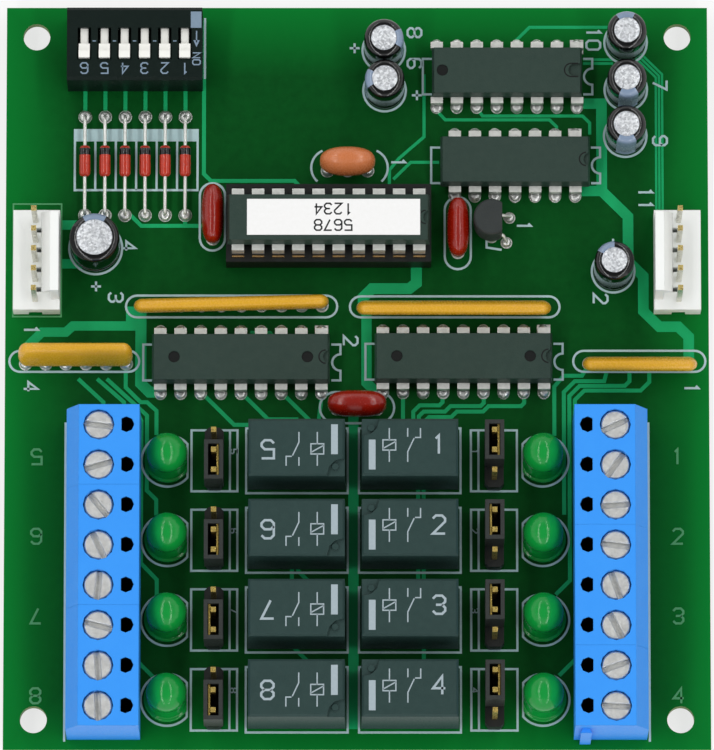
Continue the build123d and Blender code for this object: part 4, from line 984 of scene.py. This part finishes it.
relay_marks = Shape()


def mark_relay(place, level, number):
    """A pin mark and a small plain circuit: a coil across its terminals, and a contact."""
    for points, width in [(points, 0.16) for points in MARK_LINES] + [(MARK_BAR, 0.85)]:
        moved = [(place @ Vector((*point, 0))).to_2d() for point in points]
        relay_marks.ribbon(moved, width, level, level + MARK_THICKNESS)
    where = place @ MARK_NUMBER
    turn = degrees(place.to_euler().z)
    write(relay_marks, number, where.x, where.y, 2.3, turn, level, 0.3, MARK_THICKNESS)


for node in sorted(n for n in frame["nodes"] if n.startswith("relay_") and n[6:].isdigit()):
    low, high = corners(node)
    x, y = middle(low, high)
    side = -1 if x < 0 else 1
    frame_line(legend, Vector((x, y)) - RELAY_HALVES, Vector((x, y)) + RELAY_HALVES)
    row = round((-6 - y) / RELAY_PITCH + 0.5)
    number = str(row if side > 0 else row + 4)
    mark_relay(placed(x, y, 0, 0 if side > 0 else 180), high.z, number)
    jumper = Vector((JUMPER_X[side], y))
    frame_line(legend, jumper - JUMPER_HALVES, jumper + JUMPER_HALVES)
    inner = jumper.x - side * JUMPER_LINE
    line(legend, [(inner, y - JUMPER_HALVES.y), (inner, y + JUMPER_HALVES.y)])
    write(legend, number, inner - side * 0.5, y + 1.2, 0.8, -90, stroke=0.15)
opening = degrees(acos(LAMP_FLAT / LAMP_RING))
for x, y, side in lamp_places:
    turn = 0 if side > 0 else 180
    line(legend, arc(x, y, LAMP_RING, turn + opening, turn + 360 - opening, 40), closed=True)
relay_marks.build("relay_marks", [relay_mark])

# Lines beside the terminals, connector, switch, resonator, regulator and diodes, and the numbers
for side in (-1, 1):
    line(legend, [(side * 36.75, -5.9), (side * 36.75, -46.6)])
frame_line(dim_legend, (-43.5, 7.7), (-37.4, 22.2), 0.2)
line(legend, [(-19.3, 46.3), (-19.3, 38.4)])
line(legend, arc(1.5, 26.9, 2.4, -48, 66, 14))
line(legend, arc(-3.4, 26.9, 2.4, 114, 228, 14))
line(legend, [(16.4, 18.0), (16.4, 16.6), (18.3, 16.3)])
DIODE_BOX = (-35.75, 24.0, -20.2, 31.75)
frame_line(legend, DIODE_BOX[:2], DIODE_BOX[2:])
for n in range(1, 6):
    x = DIODE_BOX[0] + n * (DIODE_BOX[2] - DIODE_BOX[0]) / 6
    line(legend, [(x, DIODE_BOX[1]), (x, 30.4)])
legend.box((DIODE_BOX[0] - STROKE / 2, 30.3, BOARD_TOP), (DIODE_BOX[2] + STROKE / 2, 31.9, INK + 8 * LAYER))
for text, x, y in (
    ("8", 7.3, 44.4), ("6", 7.3, 40.4), ("10", 30.0, 43.6), ("7", 38.4, 37.6), ("9", 38.4, 30.4),
    ("11", 36.5, 22.9), ("2", 30.8, 10.0), ("1", 42.2, -1.5), ("1", 21.1, 19.4), ("1", 5.2, 27.6),
    ("3", -30.5, 10.2), ("2", -0.8, 4.6), ("4", -41.2, -1.3), ("1", -41.2, 6.0), ("4", -28.9, 16.8),
):
    write(legend, text, x, y, NUMBER_HEIGHT, -90)
for x, y in ((-0.3, 42.7), (7.6, 36.6), (32.4, 17.4), (-33.0, 11.9)):
    write(legend, "+", x, y, OUTPUT_HEIGHT)
legend.build("board_legend", [ink])
for row in range(4):
    y = -10.3 - RELAY_PITCH * row
    write(dim_legend, str(row + 5), -40.4, y, OUTPUT_HEIGHT, 180)
    write(dim_legend, str(row + 1), 40.4, y, OUTPUT_HEIGHT)
dim_legend.build("output_numbers", [dim_ink])

# Switch: numbers, a line between the windows, an arrow and ON, printed on its top
switch_print = Shape()
top = switch_high.z
ink_top = top + MARK_THICKNESS
windows = [corners(f"switch_slider_{n}") for n in range(1, 7)]
for n, (low, high) in enumerate(windows):
    x = (low.x + high.x) / 2
    write(switch_print, str(6 - n), x, low.y - 1.3, SMALL_HEIGHT, 180, top, 0.18, MARK_THICKNESS)
    if n < 5:
        gap = [(high.x + 0.35, 41.8), (windows[n + 1][0].x - 0.35, 41.8)]
        switch_print.ribbon(gap, 0.14, top, ink_top)
arrow_x = switch_high.x - 0.72
switch_print.ribbon([(arrow_x, 43.1), (arrow_x, 41.6)], 0.16, top, ink_top)
switch_print.prism([(arrow_x - 0.4, 41.9), (arrow_x, 41.0), (arrow_x + 0.4, 41.9)], top, ink_top)
write(switch_print, "ON", arrow_x, 39.5, 0.95, 90, top, 0.16, MARK_THICKNESS)
switch_print.box((switch_high.x - 1.45, 43.5, top), (switch_high.x - 0.1, 45.6, ink_top))
switch_print.build("switch_print", [switch_ink])

# Label: bare paper with two rows of plain numbers
LABEL_X = -3.0
LABEL_ROWS = {1.05: "1234", -1.05: "5678"}
low, high = corners("microcontroller_label")
label_print = Shape()
for rise, text in LABEL_ROWS.items():
    y = middle(low, high)[1] + rise
    write(label_print, text, LABEL_X, y, SMALL_HEIGHT, 180, high.z, 0.2, 0.012)
label_print.build("label_print", [print_black])

# Spring contacts that show at the outer side of each lead of the socketed chip
CONTACT_ROW = 4.3
CONTACT_HALVES = (0.8, 0.12)
contacts = Shape()
low, high = corners("chip_socket")
socket_x, socket_y = middle(low, high)
across, along = CONTACT_HALVES
for n in range(10):
    x = socket_x + (n - 4.5) * PITCH
    for side in (-1, 1):
        y = socket_y + side * CONTACT_ROW
        contacts.box((x - across, y - along, high.z - 1.0), (x + across, y + along, high.z - 0.05), 0.04)
contacts.build("socket_contacts", [brass])

# Ejector marks: dark floors of the round dimples of the chips; and painted shade, a dark line along the edge
# of each notch
DIMPLE_DEPTH = 0.15
DIMPLE_RADIUS = 0.7
NOTCH_SHADE_LINE = 0.16
NOTCH_HALF = 0.85
dimples = Shape()


def dimple(x, box):
    level = box[1].z - DIMPLE_DEPTH
    profile = [(0, level), (DIMPLE_RADIUS, level), (DIMPLE_RADIUS, level + 0.01), (0, level + 0.01)]
    dimples.lathe(profile, placed(x, middle(*box)[1], 0), 24)


for box in solid_boxes("relay_drivers"):
    dimple(box[0].x + 2.8, box)
    dimple(box[1].x - 2.8, box)
box = corners("line_transceiver")
dimple(box[0].x + 1.3, box)
# Painted shade: a dark line sunk along the edge of each chip's notch
for node in ("line_transceiver", "logic_chip", "relay_drivers", "microcontroller"):
    reach = 0.9 if node == "line_transceiver" else 0
    for low, high in solid_boxes(node):
        end = high.x - 0.5
        y = middle(low, high)[1]
        points = arc(end - reach, y, NOTCH_HALF, 90, 270, 16)
        if reach:
            points = [(end, y + NOTCH_HALF)] + points + [(end, y - NOTCH_HALF)]
        dimples.ribbon(points, NOTCH_SHADE_LINE, high.z - 0.1, high.z + 0.01)
dimples.build("mould_marks_and_notch_shade", [dimple_and_notch_shade])

# Painted shade: black cups inside the test holes beside the screws, standing in for the shade deep in the
# holes
HOLE_RADIUS = 0.91
HOLE_FLAT = 0.56
HOLE_OFFSET = 3.45
HOLE_FLOOR = 8.0
WALL = 0.04
hole_shade_cups = Shape()
rim = corners("left_terminal_top")[1].z - 0.15
profile = [(0, HOLE_FLOOR), (HOLE_RADIUS, HOLE_FLOOR), (HOLE_RADIUS, rim), (HOLE_RADIUS - WALL, rim)]
profile += [(HOLE_RADIUS - WALL, HOLE_FLOOR + WALL), (0, HOLE_FLOOR + WALL)]
for node in screw_nodes:
    x, y = middle(*corners(node))
    side = -1 if x < 0 else 1
    place = placed(x - side * HOLE_OFFSET, y, 0, 0 if side > 0 else 180)
    hole_shade_cups.lathe(profile, place, 24, HOLE_FLAT)
hole_shade_cups.build("test_hole_shades", [hole_shade_black])

# Camera at the angle of the photograph, which looks down from the side of the relays
IMAGE_HEIGHT = 750
PIXELS_PER_MM = 7.92
SENSOR = 36.0
CAMERA_DISTANCE = 1400.0
CAMERA_TILT = 10.5
CAMERA_TARGET = Vector((0.0, 0.2, BOARD_TOP))


def add_camera():
    data = bpy.data.cameras.new("camera")
    data.sensor_width = SENSOR
    data.lens = SENSOR * CAMERA_DISTANCE * PIXELS_PER_MM / IMAGE_HEIGHT
    data.clip_start = 0.05
    data.clip_end = 10.0
    camera = add_object("camera", data)
    tilt = radians(CAMERA_TILT)
    back = Vector((0, -sin(tilt), cos(tilt)))
    camera.location = (CAMERA_TARGET + back * CAMERA_DISTANCE) * MM
    camera.rotation_euler = (tilt, 0, 0)
    bpy.context.scene.camera = camera


# Studio light: two long strips either side of the line of sight, and an even surround
LIGHT_DISTANCE = 680.0
LIGHT_SPREAD = 28.0
STRIP_WIDTH = 56.0
STRIP_LENGTH = 3200.0
STRIP_RADIANCE = 8.5
SURROUND = 0.4
CEILING = 0.2
CEILING_EDGE = (0.45, 0.85)


def add_lamp(side):
    data = bpy.data.lights.new(f"strip_{'right' if side > 0 else 'left'}", "AREA")
    data.shape = "RECTANGLE"
    data.size = STRIP_WIDTH * MM
    data.size_y = STRIP_LENGTH * MM
    data.energy = STRIP_RADIANCE * pi * data.size * data.size_y
    lamp = add_object(data.name, data)
    sight = Matrix.Translation(CAMERA_TARGET * MM) @ Matrix.Rotation(radians(CAMERA_TILT), 4, "X")
    away = Matrix.Rotation(radians(side * LIGHT_SPREAD), 4, "Y")
    lamp.matrix_world = sight @ away @ Matrix.Translation((0, 0, LIGHT_DISTANCE * MM))
    lamp.visible_camera = False


def seen_share(tree):
    """One for rays of the camera, of gloss and of glass, otherwise zero."""
    path = tree.nodes.new("ShaderNodeLightPath").outputs
    share = maths(tree, "MAXIMUM", path["Is Camera Ray"], path["Is Glossy Ray"])
    return maths(tree, "MAXIMUM", share, path["Is Transmission Ray"])


def add_surround():
    """White for the camera, gloss and glass, with a darker ceiling that gloss alone sees."""
    world = bpy.data.worlds.new("surround")
    world.use_nodes = True
    tree = world.node_tree
    toward = tree.nodes.new("ShaderNodeTexCoord").outputs["Generated"]
    direction = fill(tree, tree.nodes.new("ShaderNodeSeparateXYZ"), {"Vector": toward})
    height = spread(tree, direction.outputs["Z"], 0.0, 1.0, *CEILING_EDGE, smooth=True)
    glossy = tree.nodes.new("ShaderNodeLightPath").outputs["Is Glossy Ray"]
    share = maths(tree, "MULTIPLY", glossy, height)
    plain = spread(tree, seen_share(tree), SURROUND, 1.0)
    blend = fill(tree, tree.nodes.new("ShaderNodeMix"), {"Factor": share, "A": plain, "B": CEILING})
    fill(tree, tree.nodes["Background"], {"Color": WHITE, "Strength": blend.outputs["Result"]})
    bpy.context.scene.world = world


FLOOR_SIZE = 4000.0
FLOOR_GLOW = 0.72
FLOOR_GREY = 0.8


def add_floor():
    """A white floor that shows mostly its own white and a faint shadow of the board."""
    half = FLOOR_SIZE / 2 * MM
    corner_points = [(-half, -half, 0), (half, -half, 0), (half, half, 0), (-half, half, 0)]
    mesh = bpy.data.meshes.new("floor")
    mesh.from_pydata(corner_points, [], [[0, 1, 2, 3]])
    material = bpy.data.materials.new("floor")
    material.use_nodes = True
    tree = material.node_tree
    seen = seen_share(tree)
    values = {"Roughness": 0.9, "Specular IOR Level": 0.0, "Emission Color": WHITE}
    values["Emission Strength"] = spread(tree, seen, 0.0, FLOOR_GLOW)
    values["Base Color"] = spread(tree, seen, FLOOR_GREY, 1 - FLOOR_GLOW)
    fill(tree, tree.nodes["Principled BSDF"], values)
    mesh.materials.append(material)
    add_object("floor", mesh)


add_camera()
for side in (-1, 1):
    add_lamp(side)
add_surround()
add_floor()
bpy.context.scene.view_settings.view_transform = "Standard"
